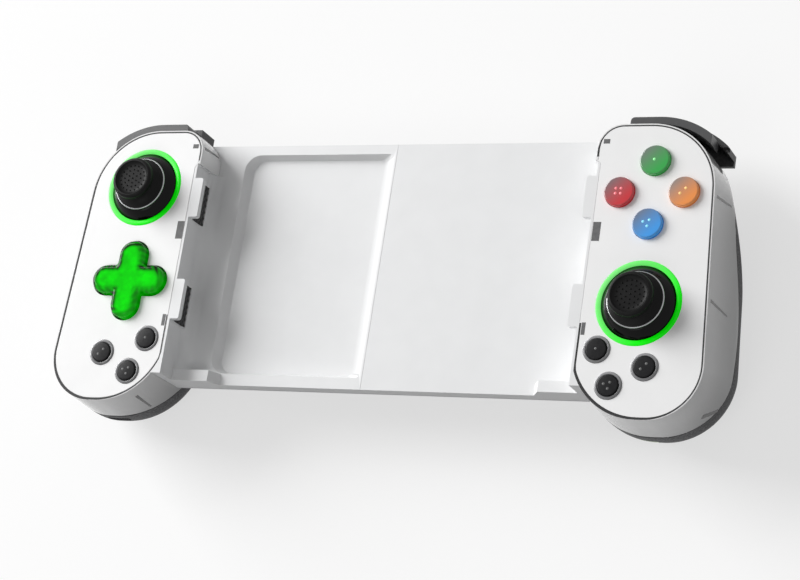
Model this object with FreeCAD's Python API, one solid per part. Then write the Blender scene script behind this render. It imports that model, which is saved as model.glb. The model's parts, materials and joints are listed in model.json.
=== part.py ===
import FreeCAD, Part

import math
import os

os.makedirs("parts", exist_ok=True)

Vector = FreeCAD.Vector

# Telescopic phone gamepad, lying on its back. Millimetres.
# X runs along the bridge, Y towards the shoulder buttons, Z out of the faceplates.
# The origin is on the table, under the middle of the object.
# Right-hand pieces are drawn at +X, and left-hand ones are their mirror images.
# A "depth" is measured back from the faceplates' front.

# Grip, seen from the front
grip_depth = 37.0            # faceplate front to table
plate_inner_x = 75.2         # faceplate edge beside the phone
plate_outer_top_x = 114.1    # outer edge, carried up to the top edge
plate_outer_bottom_x = 119.4 # outer edge, carried down to the bottom edge
plate_top_y = 48.0
plate_bottom_y = -51.3
corner_inner_top = 7.5       # corner radii of the faceplate
corner_outer_top = 23.0
corner_outer_bottom = 17.0
corner_inner_bottom = 24.0
plate_thick = 2.2
plate_gap = 0.1              # faceplate to housing
rim_width = 0.9              # housing edge seen round the faceplate
wall = 1.8                   # housing and rear shell
least_round = 1.0            # smallest corner radius of the grip
pair_share = 0.95            # of a side, for its two corners at most

# Grip, seen from the side: how far each side draws in at a depth, and less than nothing where
# it swells: (depth, side beside the phone, outer side, top, bottom)
front_rings = (
    (0.0, 0.0, 0.0, 0.0, 0.0),
    (7.0, -0.5, -0.8, -0.2, -0.5),
    (15.0, -0.9, -1.9, 0.3, -0.9),
)
rear_rings = (
    front_rings[-1],
    (18.0, -0.9, -2.3, 4.6, -1.0),
    (22.0, -0.6, -2.8, 11.0, -0.9),
    (28.0, 0.5, -2.9, 23.5, 1.4),
    (32.5, 2.8, -1.2, 33.0, 6.5),
    (35.5, 6.5, 2.4, 39.5, 13.5),
    (grip_depth, 12.0, 8.0, 43.5, 20.5),
)
# Seam between housing and rear shell: height on the grip and depth
seam_points = ((60.0, 11.0), (28.0, 16.0), (11.0, 20.0), (-12.0, 25.2), (-33.0, 22.3), (-62.0, 14.0))

# Bridge
butt_x = -4.5                # where the two halves meet
butt_gap = 0.1
tray_depth = 13.0            # phone face below the faceplates
tray_top_y = 47.9
tray_bottom_y = -41.5
tray_end_x = 79.0            # how far a half reaches into its grip
tray_skin = 2.0
tray_thick = 4.0             # front moulding at its edges
back_thick = 1.8             # back cover at its edges
edge_round = 0.8
jaw_seam_x = 76.9            # jaw lip against the faceplate
jaw_top_y = 36.1
jaw_step_y = -38.0           # where the seam turns round the faceplate's corner
jaw_reach = 4.0              # jaw lip beyond the tray's end
jaw_root_round = 5.0         # hollow between jaw and tray
jaw_corner_round = 3.0
hook_reach = 3.3             # over the phone
hook_thick = 2.2
hook_root = 0.5              # hook sunk into the jaw
hook_length = 14.6
hook_upper_y = 23.4          # middle of each hook
hook_lower_y = -14.4
pad_thick = 1.0
pad_proud = 0.4
pad_top_depth = 3.0
pad_bottom_depth = 10.3
recess_left_x = 63.4         # camera recess in the left half, at the tray face
recess_right_margin = 1.3    # to the butt line
recess_top_margin = 3.5
recess_bottom_margin = 4.1
recess_deep = 2.8
recess_slope_left = 2.6
recess_slope_right = 4.2
recess_slope_ends = 1.2
recess_corner = 6.0
recess_butt_corner = 1.5     # corners beside the butt line, at the tray face
recess_floor_corner = 1.2    # the same corners at the floor
ridge_length = 17.0          # raised corner beside each jaw
ridge_wide = 4.0
ridge_high = 4.5
ridge_slope = 3.0
ridge_root = 0.8             # ridge sunk into the jaw

# Slider in the bridge
slide_travel = 30.0          # each half, along the slider
slider_half = 55.0           # slider, from the butt line to its end
slider_wide = 44.0
slider_thick = 2.9
slider_y = 3.2               # middle line
slide_gap = 0.15
slider_corner = 3.0
slider_end_gap = 1.0         # channel beyond the slider
spine_side = 3.0
spine_chamfer = 2.0
spine_wall = 1.5             # back cover behind the slider
stop_pin_r = 1.8
stop_start = 20.0            # stop pin from the butt line, closed
stop_gap = 0.1
pin_root = 0.6               # pins sunk into the moulding
stop_offset = 14.0           # stop pins from the middle line
spring_offset = 8.5          # springs from the middle line
spring_wide = 2.0
spring_wall = 0.4
spring_post_r = 0.9
spring_post_gap = 0.1        # post below the slider's front
spring_groove_start = 2.0    # groove from the post towards the butt line
spring_inner = 6.0           # slider's post from the butt line
spring_outer = 30.0          # half's post from the butt line
groove_gap = 0.4             # beside a spring
groove_floor = 0.5           # slider left under a spring
ribbon_wide = 10.0
ribbon_thick = 0.3
ribbon_groove = 0.8
ribbon_gap = 0.25
ribbon_reach = 1.0           # into each grip, beyond the tray's end

# Sticks
left_stick_x = 95.2
left_stick_y = 27.2
right_stick_x = 95.2
right_stick_y = -13.3
ring_outer_r = 14.5
ring_proud = 0.2
ring_flange_thick = 0.8
ring_flange_out = 1.0
stick_pivot_depth = 8.0
dome_r = 14.75               # outside of the dome, about the pivot
dome_wall = 1.3
dome_gap = 0.35
dome_shoulder_r = 9.5
dome_low = 2.0               # dome's edge above the pivot
dome_top = 11.0              # dome's shoulder above the pivot
trim_r = 9.7
trim_inner_r = 8.2
trim_high = 0.6
trim_round = 0.27
cap_r = 7.65
cap_top = 18.0               # above the pivot
cap_neck_r = 6.7
cap_skirt_r = 9.1
cap_rim_high = 2.9
cap_rim_flat = 0.5           # ring between the dish and the rounded edge
cap_dish = 0.5
cap_edge = 0.8               # rounded top edge
cap_lip = 0.4                # chamfer under the rim, and below it the neck's step
cap_lip_in = 0.2
cap_neck_step = 0.5
cap_flare = 0.3              # how far the flare stays out from the neck at half height
stem_r = 3.2
stem_low = 4.6               # stem's end above the pivot
click_travel = 0.5
lever_r = 1.6
lever_gap = 0.05
lever_top = 7.6              # above the pivot
lever_end_gap = 0.4          # beyond the click
rocker_half = 2.6            # rocker block along X
gimbal_long = 12.6           # ring along X
gimbal_wide = 10.4           # ring along Y
gimbal_bar = 1.6
gimbal_high = 2.6
rocker_gap = 0.3
trunnion_r = 0.9
trunnion_gap = 0.05
ear_thick = 1.4
ear_half = 2.4               # half width of the ears
ear_above = 2.1              # ears above the pivot
base_size = 18.0
base_thick = 1.6
base_depth = 17.5            # top of the module's base plate

# Direction pad
dpad_x = 93.9
dpad_y = -8.0
dpad_reach = 14.3
dpad_arm = 10.4
dpad_proud = 2.8
dpad_gap = 0.5
dpad_fillet = 1.4
dpad_skirt_r = 15.6
dpad_skirt_thick = 1.0
dpad_skirt_depth = 4.2
dpad_pivot_depth = 5.2
dpad_pocket = 11.6
dpad_pocket_depth = 3.2
cross_pin_r = 0.7
cross_ear_out = 4.6          # middle of the ears from the centre
cross_ear_thick = 1.4
cross_ear_wide = 3.0
cross_ear_round = 1.1          # ear beyond the pin's middle
cross_block = 2.4

# Buttons and keys
cluster_x = 95.1
cluster_y = 24.6
cluster_reach = 11.0
button_r = 5.1
button_proud = 1.8
button_gap = 0.15
button_round = 0.6
flange_out = 0.8
flange_thick = 1.0
flange_drop = 0.3            # flange below the faceplate
key_r = 3.55
key_proud = 1.0
key_round = 0.5
key_gap = 0.12
key_flange_out = 0.7
collar_wall = 1.0
collar_proud = 0.35
key_places = (("inner", 83.0, -29.2), ("outer", 99.8, -34.7), ("lower", 88.4, -41.2))

# Boards and key mats
board_depth = 7.0
board_thick = 1.6
board_top_y = 41.6
board_margin = 1.2           # to the cavity's walls
board_hole_gap = 0.5
mat_thick = 0.7
mat_margin = 1.2
mat_window_gap = 1.0         # beside the pad's bracket
bead_gap = 0.05
bead_reach = 9.5             # beads under the pad's arms
bead_r = 2.2                 # silicone bead under a key

# Shoulder buttons
bumper_inner_x = 83.5
bumper_outer_x = 112.0
bumper_front = 3.0           # depths
bumper_back = 11.0
shoulder_x = 93.5            # middle of the round corner of both shoulder keys
shoulder_y = 22.6
bumper_curve_r = 30.0        # outside of the bumper at that corner
bumper_thick = 2.7
bumper_pin_x = 86.6
bumper_pin_y = 46.4
bumper_pin_r = 1.0
bumper_lug_r = 2.0
bumper_lug_front = 4.8
bumper_lug_back = 9.0
bracket_thick = 1.2
bracket_gap = 0.15
bracket_side = 0.6           # bracket beyond the lug's round
lug_side_gap = 0.4           # slot beside the lug
slot_reach = 3.0             # slots through the housing's top wall
bumper_end_round = 1.4
plunger_x = 98.2
plunger_wide = 2.4
plunger_end_y = 44.9
plunger_front = 5.4
plunger_back = 8.4
plunger_root = 0.85          # plunger sunk into the bumper's band
plunger_side_gap = 0.5
plunger_end_gap = 0.4
trigger_inner_x = 83.0
trigger_outer_x = 115.2
trigger_front = 12.0         # depths
trigger_back = 21.5
trigger_low_y = 41.4
trigger_curve_r = 31.5       # outside of the trigger at the round corner
trigger_wall = 1.7
trigger_pin_y = 44.6
trigger_pin_depth = 12.9
trigger_pin_r = 1.0
trigger_hub_r = 2.0
trigger_arm_thick = 2.6
trigger_arm_low = 1.0        # arms below the pin
trigger_arm_margin = 0.5     # arms inside the trigger's front and back
trigger_cap_thick = 1.2      # wall at its inner end
trigger_skirt_root = 1.0     # skirt sunk into the trigger
trigger_arm_places = (87.2, 96.1)
trigger_ear_places = (89.1, 93.0)
trigger_pin_ends = (85.6, 97.7)
trigger_skirt_r = 9.0
trigger_skirt_wall = 1.1
trigger_skirt_low = 8.2      # skirt's edge below the pin
trigger_skirt_out = 5.0      # skirt beyond the outer arm
trigger_clear = 0.4
trigger_corner = 1.5         # room behind the trigger before the grip's form closes in
trigger_sweep = 2.6          # room below the trigger for its travel
pin_fit = 0.05
trigger_ear_thick = 1.4
trigger_ear_reach = 2.0      # beyond the pin's middle
trigger_ear_depth = 5.0      # front end of the ears
ear_root = 0.9               # brackets and ears sunk into the housing's wall
spring_wire = 0.5
spring_coil_r = 1.75
spring_end_gap = 0.2         # between spring and ears

# Fastenings
screw_places = ((111.8, 8.1), (109.0, -39.8), (83.4, 11.1))
pillar_r = 2.5
pillar_end_depth = 14.0
screw_r = 0.9
thread_gap = 0.02
screw_head_r = 1.9
screw_head_high = 1.5
screw_bite = 6.0             # in the pillar
screw_seat_depth = 18.0
head_gap = 0.1
boss_r = 3.0
tray_screw_inset = 2.3
tray_screw_r = 0.7
tray_screw_head_r = 1.3
tray_screw_places = (30.0, 62.0)
tray_screw_head_high = 0.8
tray_screw_end_gap = 0.2
post_r = 2.0

# Sockets and lights
window_x = 94.8              # status light, right grip
window_long = 10.2
window_high = 1.7
window_depth = 22.6
window_thick = 1.6
usb_x = 100.4                # charging socket, left grip
usb_long = 9.0
usb_high = 3.2
usb_deep = 7.4
usb_wall = 0.35
usb_tongue = 0.7
usb_depth = 20.6
usb_mouth_y = -52.3
usb_flat = 0.2               # flat left at each end of its rounded section
usb_back = 1.2               # closed back
usb_tongue_side = 1.3        # tongue from the socket's sides
usb_tongue_start = 0.8       # tongue from the mouth
usb_tongue_root = 0.2        # tongue sunk into the back

# Battery, in the left grip
battery_x = 97.5
battery_y = -13.0
battery_long = 34.0
battery_wide = 24.0
battery_thick = 7.0
battery_front = 24.5
battery_round = 2.0

# Worked out from the sizes above
face_z = grip_depth
collar_outer_r = key_r + key_gap + collar_wall
lean = (plate_outer_bottom_x - plate_outer_top_x) / (plate_top_y - plate_bottom_y)
tray_z = face_z - tray_depth
tray_under_z = tray_z - tray_thick
slider_top_z = tray_under_z - slide_gap
slider_low_z = slider_top_z - slider_thick
channel_low_z = slider_low_z - slide_gap
groove_floor_z = slider_low_z + groove_floor
plate_under_z = face_z - plate_thick
board_z = face_z - board_depth
far = 200.0                  # beyond the whole object
over = 1.0                   # how far a cutting form runs past what it cuts
sink = 0.5                   # how far a joined form runs into what carries it


def box(x0, x1, y0, y1, z0, z1):
    return Part.makeBox(x1 - x0, y1 - y0, z1 - z0, Vector(x0, y0, z0))


def rod(x, y, z0, z1, r):
    """Upright cylinder."""
    return Part.makeCylinder(r, z1 - z0, Vector(x, y, z0))


def rod_x(x0, x1, y, z, r):
    return Part.makeCylinder(r, x1 - x0, Vector(x0, y, z), Vector(1, 0, 0))


def rod_y(x, y0, y1, z, r):
    return Part.makeCylinder(r, y1 - y0, Vector(x, y0, z), Vector(0, 1, 0))


def join(shapes):
    result = shapes[0]
    for shape in shapes[1:]:
        result = result.fuse(shape)
    return result.removeSplitter()


def cut(shape, *tools):
    for tool in tools:
        shape = shape.cut(tool)
    return shape


def mirrored(shape):
    return shape.mirror(Vector(0, 0, 0), Vector(1, 0, 0))


def save(name, shape):
    shape.exportStep("parts/" + name + ".step")
    print(name, len(shape.Solids), "solids", round(shape.Volume, 1), "mm3", shape.isValid())


def rounded_wire(corners, radii, z):
    """Closed wire through the corners, each rounded by its own radius."""
    count = len(corners)
    starts = []
    ends = []
    middles = []
    for i in range(count):
        here = Vector(corners[i][0], corners[i][1], z)
        before = Vector(corners[i - 1][0], corners[i - 1][1], z) - here
        after = Vector(corners[(i + 1) % count][0], corners[(i + 1) % count][1], z) - here
        before.normalize()
        after.normalize()
        half = before.getAngle(after) / 2
        reach = radii[i] / math.tan(half)
        bisector = before + after
        bisector.normalize()
        starts.append(here + before * reach)
        ends.append(here + after * reach)
        middles.append(here + bisector * (radii[i] / math.sin(half) - radii[i]))
    edges = []
    for i in range(count):
        edges.append(Part.Arc(starts[i], middles[i], ends[i]).toShape())
        edges.append(Part.LineSegment(ends[i], starts[(i + 1) % count]).toShape())
    return Part.Wire(edges)


def grip_wire(depth, inner, outer, top, bottom):
    """Outline of the grip at one depth; the four insets are from the faceplate's outline."""
    top_y = plate_top_y - top
    bottom_y = plate_bottom_y + bottom
    inner_x = plate_inner_x + inner
    outer_top_x = plate_outer_top_x + lean * top - outer
    outer_bottom_x = plate_outer_bottom_x - lean * bottom - outer
    corners = (
        (inner_x, top_y),
        (inner_x, bottom_y),
        (outer_bottom_x, bottom_y),
        (outer_top_x, top_y),
    )
    radii = []
    for radius, inset in (
        (corner_inner_top, inner), (corner_inner_bottom, inner),
        (corner_outer_bottom, outer), (corner_outer_top, outer),
    ):
        radii.append(max(radius - inset, least_round))
    high = top_y - bottom_y
    sides = (high, outer_bottom_x - inner_x, high, outer_top_x - inner_x)
    for i in range(4):
        after = (i + 1) % 4
        room = pair_share * sides[i]
        together = radii[i] + radii[after]
        if together > room:
            radii[i] *= room / together
            radii[after] *= room / together
    return rounded_wire(corners, radii, face_z - depth)


def plan_prism(inset, z0, z1):
    """Faceplate outline, inset or let out, between two heights."""
    wire = grip_wire(face_z - z0, inset, inset, inset, inset)
    return Part.Face(wire).extrude(Vector(0, 0, z1 - z0))


def grip_loft(thick):
    """Solid grip form, smaller all round by the given thickness."""
    depth_scale = (grip_depth - thick) / grip_depth
    extra = thick - rim_width
    lofts = []
    for rings in (front_rings, rear_rings):
        wires = []
        for depth, *insets in rings:
            wires.append(grip_wire(depth * depth_scale, *[inset + extra for inset in insets]))
        lofts.append(Part.makeLoft(wires, True, False))
    return lofts[0].fuse(lofts[1]).removeSplitter()


def seam_prism():
    """Everything in front of the seam between housing and rear shell."""
    points = [Vector(0, y, face_z - depth) for y, depth in seam_points]
    curve = Part.BSplineCurve()
    curve.interpolate(points)
    front = face_z + 10 * over
    up = Vector(0, points[0].y, front)
    down = Vector(0, points[-1].y, front)
    edges = [
        curve.toShape(),
        Part.LineSegment(points[-1], down).toShape(),
        Part.LineSegment(down, up).toShape(),
        Part.LineSegment(up, points[0]).toShape(),
    ]
    return Part.Face(Part.Wire(edges)).extrude(Vector(far, 0, 0))


def tray_profile(x0, z_low):
    """Section of a tray with its jaw, drawn in X and Z at the tray's bottom edge."""
    hollow = jaw_root_round * (1 - math.sqrt(0.5))
    y = tray_bottom_y
    a = Vector(x0, y, z_low)
    b = Vector(x0, y, tray_z)
    c = Vector(plate_inner_x - jaw_root_round, y, tray_z)
    middle = Vector(plate_inner_x - hollow, y, tray_z + hollow)
    d = Vector(plate_inner_x, y, tray_z + jaw_root_round)
    e = Vector(plate_inner_x, y, face_z)
    f = Vector(far / 2, y, face_z)
    g = Vector(far / 2, y, z_low)
    edges = [
        Part.LineSegment(a, b).toShape(),
        Part.LineSegment(b, c).toShape(),
        Part.Arc(c, middle, d).toShape(),
        Part.LineSegment(d, e).toShape(),
        Part.LineSegment(e, f).toShape(),
        Part.LineSegment(f, g).toShape(),
        Part.LineSegment(g, a).toShape(),
    ]
    return Part.Face(Part.Wire(edges))


def jaw_notch(gap):
    """Room that the jaw's lip takes out of the faceplate, larger by the gap."""
    low = jaw_step_y - gap
    high = jaw_top_y + gap
    notch = box(0, jaw_seam_x + gap, low, high, 0, face_z + over)
    uprights = [e for e in notch.Edges if e.Length > face_z and e.BoundBox.XMin > 1]
    corner = [e for e in uprights if e.BoundBox.YMax > high - 0.1]
    return notch.makeFillet(jaw_corner_round, corner)


def faceplate_outline(gap, z0, z1):
    """Faceplate with the jaw's notch, between two heights."""
    return plan_prism(gap, z0, z1).cut(jaw_notch(gap))


def tray_body(inner_x, side):
    """Front moulding of a bridge half: tray, jaw, hooks and raised corner. inner_x is the butt face."""
    slab = tray_profile(inner_x, tray_under_z).extrude(Vector(0, tray_top_y - tray_bottom_y, 0))
    beyond_jaw = box(plate_inner_x - jaw_root_round, far, jaw_top_y, far, tray_z, face_z + over)
    slab = cut(slab, beyond_jaw)
    slab = cut(slab, box(tray_end_x, far, -far, far, 0, tray_z))
    slab = cut(slab, faceplate_outline(-plate_gap, tray_z, face_z + over))
    slab = cut(slab, box(tray_end_x + jaw_reach, far, -far, far, tray_z - over, face_z + over))
    pieces = [slab]
    for y in (hook_upper_y, hook_lower_y):
        hook = box(
            plate_inner_x - hook_reach, plate_inner_x + hook_root,
            y - hook_length / 2, y + hook_length / 2,
            face_z - hook_thick, face_z,
        )
        tips = [e for e in hook.Edges if e.BoundBox.XMax < plate_inner_x - over and e.BoundBox.ZLength > 1]
        pieces.append(hook.makeFillet(edge_round, tips))
    pieces.append(corner_ridge())
    moulding = join(pieces)
    for y in (hook_upper_y, hook_lower_y):
        moulding = moulding.cut(pad_pocket(y))
    if side == "left":
        moulding = moulding.cut(camera_recess())
    for x, y in tray_screw_list():
        moulding = moulding.cut(rod(x, y, tray_under_z - over, tray_z - tray_skin, tray_screw_r + thread_gap))
    return moulding.fuse(stop_pins(inner_x)).removeSplitter()


def corner_ridge():
    """Raised corner beside the jaw, with a sloped inner end."""
    root_x = plate_inner_x + ridge_root
    end_x = plate_inner_x - ridge_length
    y = tray_bottom_y
    z = tray_z - sink
    top = tray_z + ridge_high
    points = [
        Vector(end_x, y, z),
        Vector(end_x + ridge_slope, y, top),
        Vector(root_x, y, top),
        Vector(root_x, y, z),
    ]
    face = Part.Face(Part.makePolygon(points + points[:1]))
    return face.extrude(Vector(0, ridge_wide, 0))


def pad_pocket(y):
    return box(
        plate_inner_x - over, plate_inner_x + pad_thick - pad_proud,
        y - hook_length / 2, y + hook_length / 2,
        face_z - pad_bottom_depth, face_z - pad_top_depth,
    )


def grip_pads():
    """Two rubber pads in the jaw, under the hooks."""
    pads = []
    for y in (hook_upper_y, hook_lower_y):
        pads.append(box(
            plate_inner_x - pad_proud, plate_inner_x + pad_thick - pad_proud,
            y - hook_length / 2, y + hook_length / 2,
            face_z - pad_bottom_depth, face_z - pad_top_depth,
        ))
    return Part.makeCompound(pads)


def camera_recess():
    """Recess with sloped walls in the left half, drawn at +X like the rest of it."""
    right = -butt_x + recess_right_margin
    left = recess_left_x
    top = tray_top_y - recess_top_margin
    bottom = tray_bottom_y + recess_bottom_margin
    radii = (recess_corner, recess_butt_corner, recess_butt_corner, recess_corner)
    mouth = rounded_wire(((left, bottom), (right, bottom), (right, top), (left, top)), radii, tray_z)
    ends = recess_slope_ends
    floor = rounded_wire(
        (
            (left - recess_slope_left, bottom + ends),
            (right + recess_slope_right, bottom + ends),
            (right + recess_slope_right, top - ends),
            (left - recess_slope_left, top - ends),
        ),
        (recess_corner - ends, recess_floor_corner, recess_floor_corner, recess_corner - ends),
        tray_z - recess_deep,
    )
    return Part.makeLoft([floor, mouth], True, True)


def stop_pins(inner_x):
    """Two stop pins that run in the slider's slots, and two spring posts."""
    pins = []
    half = butt_distance(inner_x)
    for sign in (-1, 1):
        x = half + stop_start
        y = slider_y + sign * stop_offset
        pins.append(rod(x, y, slider_low_z, tray_under_z + pin_root, stop_pin_r))
        x = half + spring_outer
        y = slider_y + sign * spring_offset
        pins.append(rod(x, y, groove_floor_z + slide_gap, tray_under_z + pin_root, spring_post_r))
    return Part.makeCompound(pins)


def butt_distance(inner_x):
    """Butt line for a half drawn at +X: its butt face is half a gap away."""
    return inner_x - butt_gap / 2


def tray_screw_list():
    places = []
    for x in tray_screw_places:
        places.append((x, tray_top_y - tray_screw_inset))
        places.append((x, tray_bottom_y + tray_screw_inset))
    return places


def tray_back(inner_x):
    """Back cover of a bridge half, with the raised spine that holds the slider."""
    low = tray_under_z - back_thick
    cover = box(inner_x, tray_end_x, tray_bottom_y, tray_top_y, low, tray_under_z)
    rear_edges = [e for e in cover.Edges if e.BoundBox.ZMax < tray_under_z - 0.1]
    cover = cover.makeFillet(edge_round, [e for e in rear_edges if e.BoundBox.XLength > 10])
    half = butt_distance(inner_x)
    channel_end = half + slider_half + slider_end_gap
    y0 = slider_y - slider_wide / 2 - slide_gap
    y1 = slider_y + slider_wide / 2 + slide_gap
    spine_z = channel_low_z - spine_wall
    spine = box(inner_x, tray_end_x, y0 - spine_side, y1 + spine_side, spine_z, tray_under_z)
    spine_edges = [e for e in spine.Edges if e.BoundBox.XLength > 10 and e.BoundBox.ZMax < low - 0.5]
    spine = spine.makeChamfer(spine_chamfer, spine_edges)
    cover = cover.fuse(spine)
    cover = cover.cut(box(inner_x - over, channel_end, y0, y1, channel_low_z, tray_under_z + over))
    ribbon_half = ribbon_wide / 2 + ribbon_gap * 2
    cover = cover.cut(box(
        channel_end - over, far, slider_y - ribbon_half, slider_y + ribbon_half,
        channel_low_z, tray_under_z + over,
    ))
    for x, y in tray_screw_list():
        cover = cover.cut(rod(x, y, low - over, tray_under_z + over, tray_screw_r + head_gap))
        cover = cover.cut(rod(x, y, low - over, low + tray_screw_head_high, tray_screw_head_r + head_gap))
    return cover.removeSplitter()


def slider():
    """Flat slider shared by both halves, with slots for stop pins and springs."""
    body = box(
        butt_x - slider_half, butt_x + slider_half,
        slider_y - slider_wide / 2, slider_y + slider_wide / 2,
        slider_low_z, slider_top_z,
    )
    corners = [e for e in body.Edges if e.BoundBox.ZLength > 1]
    body = body.makeFillet(slider_corner, corners)
    posts = []
    for side in (-1, 1):
        for sign in (-1, 1):
            y = slider_y + sign * stop_offset
            r = stop_pin_r + stop_gap
            ends = sorted((butt_x + side * stop_start, butt_x + side * (stop_start + slide_travel)))
            body = body.cut(box(ends[0], ends[1], y - r, y + r, slider_low_z - over, slider_top_z + over))
            for x in ends:
                body = body.cut(rod(x, y, slider_low_z - over, slider_top_z + over, r))
            y = slider_y + sign * spring_offset
            half = spring_wide / 2 + groove_gap
            near = butt_x + side * (spring_inner - spring_groove_start)
            ends = sorted((near, butt_x + side * (slider_half + over)))
            body = body.cut(box(
                ends[0], ends[1], y - half, y + half, groove_floor_z, slider_top_z + over,
            ))
            x = butt_x + side * spring_inner
            posts.append(rod(x, y, slider_low_z, slider_top_z - spring_post_gap, spring_post_r))
    half = ribbon_wide / 2 + ribbon_gap
    body = body.cut(box(
        -far, far, slider_y - half, slider_y + half,
        slider_low_z - over, slider_low_z + ribbon_groove,
    ))
    return join([body] + posts)


def return_springs():
    """Four tension springs along the slider, drawn as plain sleeves between their posts."""
    springs = []
    z = groove_floor_z + slide_gap + spring_wide / 2
    for side in (-1, 1):
        for sign in (-1, 1):
            y = slider_y + sign * spring_offset
            near = butt_x + side * (spring_inner + spring_post_r + slide_gap)
            away = butt_x + side * (spring_outer - spring_post_r - slide_gap)
            ends = sorted((near, away))
            sleeve = rod_x(ends[0], ends[1], y, z, spring_wide / 2)
            springs.append(sleeve.cut(rod_x(ends[0], ends[1], y, z, spring_wide / 2 - spring_wall)))
    return Part.makeCompound(springs)


def ribbon_cable():
    """Flat cable in the slider's rear groove, into both grips."""
    reach = tray_end_x + ribbon_reach
    half = ribbon_wide / 2
    low = slider_low_z + ribbon_gap
    return box(-reach, reach, slider_y - half, slider_y + half, low, low + ribbon_thick)


def grip_cutouts():
    """Room in the grip's walls for the bridge half, its spine and its jaw."""
    g = plate_gap / 2
    low = tray_under_z - back_thick
    plain = box(0, tray_end_x + g, tray_bottom_y - g, tray_top_y + g, low - g, tray_z + g)
    y0 = slider_y - slider_wide / 2 - slide_gap - spine_side - g
    y1 = slider_y + slider_wide / 2 + slide_gap + spine_side + g
    spine = box(0, tray_end_x + g, y0, y1, channel_low_z - spine_wall - g, tray_z)
    jaw = box(0, tray_end_x + jaw_reach, tray_bottom_y - g, jaw_top_y + g, tray_z - over, face_z + over)
    jaw = jaw.cut(faceplate_outline(0, 0, face_z + 2 * over))
    return [plain, spine, jaw]


def trigger_zone():
    """Room for the trigger and its travel, cut out of the grip's top corner."""
    top = far
    front = face_z - trigger_front + trigger_clear
    low_y = trigger_low_y - trigger_clear
    points = [
        Vector(trigger_inner_x - trigger_clear, low_y, front),
        Vector(trigger_inner_x - trigger_clear, top, front),
        Vector(trigger_inner_x - trigger_clear, top, 0),
        Vector(trigger_inner_x - trigger_clear, low_y - trigger_sweep, 0),
        Vector(
            trigger_inner_x - trigger_clear, low_y - trigger_sweep,
            face_z - trigger_back - trigger_corner,
        ),
    ]
    corner = Part.Face(Part.makePolygon(points + points[:1])).extrude(Vector(far, 0, 0))
    pin_z = face_z - trigger_pin_depth
    x0 = trigger_inner_x - trigger_clear
    x1 = trigger_arm_places[1] + trigger_skirt_out + trigger_clear
    swing = rod_x(x0, x1, trigger_pin_y, pin_z, trigger_skirt_r + trigger_clear)
    return corner.fuse(swing.common(box(x0, x1, 0, far, 0, pin_z)))


def stick_place(side):
    if side == "left":
        return left_stick_x, left_stick_y
    return right_stick_x, right_stick_y


def housing(outer, cavity, seam):
    """Smoky side wall, with the clevis for the bumper and the ears for the trigger."""
    shape = outer.common(seam)
    shape = cut(shape, cavity, plan_prism(-plate_gap, plate_under_z, face_z + over))
    shape = cut(shape, *grip_cutouts())
    shape = shape.cut(trigger_zone())
    inside = plan_prism(wall - rim_width - ear_root, 0, plate_under_z)
    parts = [shape]
    for front in (
        bumper_lug_front - bracket_gap - bracket_thick,
        bumper_lug_back + bracket_gap,
    ):
        ear = box(
            bumper_pin_x - bumper_lug_r - bracket_side, bumper_pin_x + bumper_lug_r + bracket_side,
            bumper_pin_y - bumper_lug_r - bracket_side, plate_top_y,
            face_z - front - bracket_thick, face_z - front,
        )
        parts.append(ear.common(inside))
    for x in trigger_ear_places:
        ear = box(
            x, x + trigger_ear_thick, trigger_pin_y - trigger_ear_reach, plate_top_y,
            face_z - trigger_pin_depth - trigger_ear_reach, face_z - trigger_ear_depth,
        )
        parts.append(ear.common(inside))
    shape = join(parts)
    slot = box(
        bumper_pin_x - bumper_lug_r - lug_side_gap, bumper_pin_x + bumper_lug_r + lug_side_gap,
        plate_top_y - slot_reach, plate_top_y + slot_reach,
        face_z - bumper_lug_back - bracket_gap, face_z - bumper_lug_front + bracket_gap,
    )
    plunger_slot = box(
        plunger_x - plunger_wide / 2 - plunger_side_gap, plunger_x + plunger_wide / 2 + plunger_side_gap,
        plate_top_y - slot_reach, plate_top_y + slot_reach,
        face_z - plunger_back - plunger_end_gap, face_z - plunger_front + plunger_end_gap,
    )
    top = face_z - bumper_front
    shape = cut(shape, slot, plunger_slot)
    shape = shape.cut(rod(bumper_pin_x, bumper_pin_y, 0, top, bumper_pin_r + thread_gap))
    shape = shape.cut(rod_x(
        trigger_inner_x, trigger_pin_ends[1] + over, trigger_pin_y,
        face_z - trigger_pin_depth, trigger_pin_r + thread_gap,
    ))
    return shape


def rear_shell(outer, cavity, seam, side):
    """Textured back of the grip, with screw bosses and the stick's four feet."""
    shape = cut(outer, seam, cavity)
    shape = cut(shape, *grip_cutouts())
    shape = shape.cut(trigger_zone())
    parts = [shape]
    for x, y in screw_places:
        parts.append(rod(x, y, 0, face_z - pillar_end_depth, boss_r).common(outer))
    x0, y0 = stick_place(side)
    reach = base_size / 2 - post_r
    for x in (x0 - reach, x0 + reach):
        for y in (y0 - reach, y0 + reach):
            parts.append(rod(x, y, 0, face_z - base_depth - base_thick, post_r).common(outer))
    shape = join(parts)
    for x, y in screw_places:
        seat = face_z - screw_seat_depth
        shape = shape.cut(rod(x, y, -over, face_z, screw_r + head_gap))
        shape = shape.cut(rod(x, y, -over, seat, screw_head_r + head_gap))
    if side == "left":
        return shape.cut(usb_block(plate_gap))
    return shape.cut(window_block(plate_gap / 2))


def window_block(gap):
    long = window_long / 2 + gap
    high = window_high / 2 + gap
    z = face_z - window_depth
    inner_y = plate_bottom_y + window_thick + gap
    return box(window_x - long, window_x + long, -far, inner_y, z - high, z + high)


def status_light(outer):
    return window_block(0).common(outer)


def usb_block(gap):
    long = usb_long / 2 + gap
    high = usb_high / 2 + gap
    z = face_z - usb_depth
    block = box(usb_x - long, usb_x + long, -far / 2, usb_mouth_y + usb_deep + gap, z - high, z + high)
    edges = [e for e in block.Edges if e.BoundBox.YLength > 5]
    return block.makeFillet(usb_high / 2 - usb_flat, edges)


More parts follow.
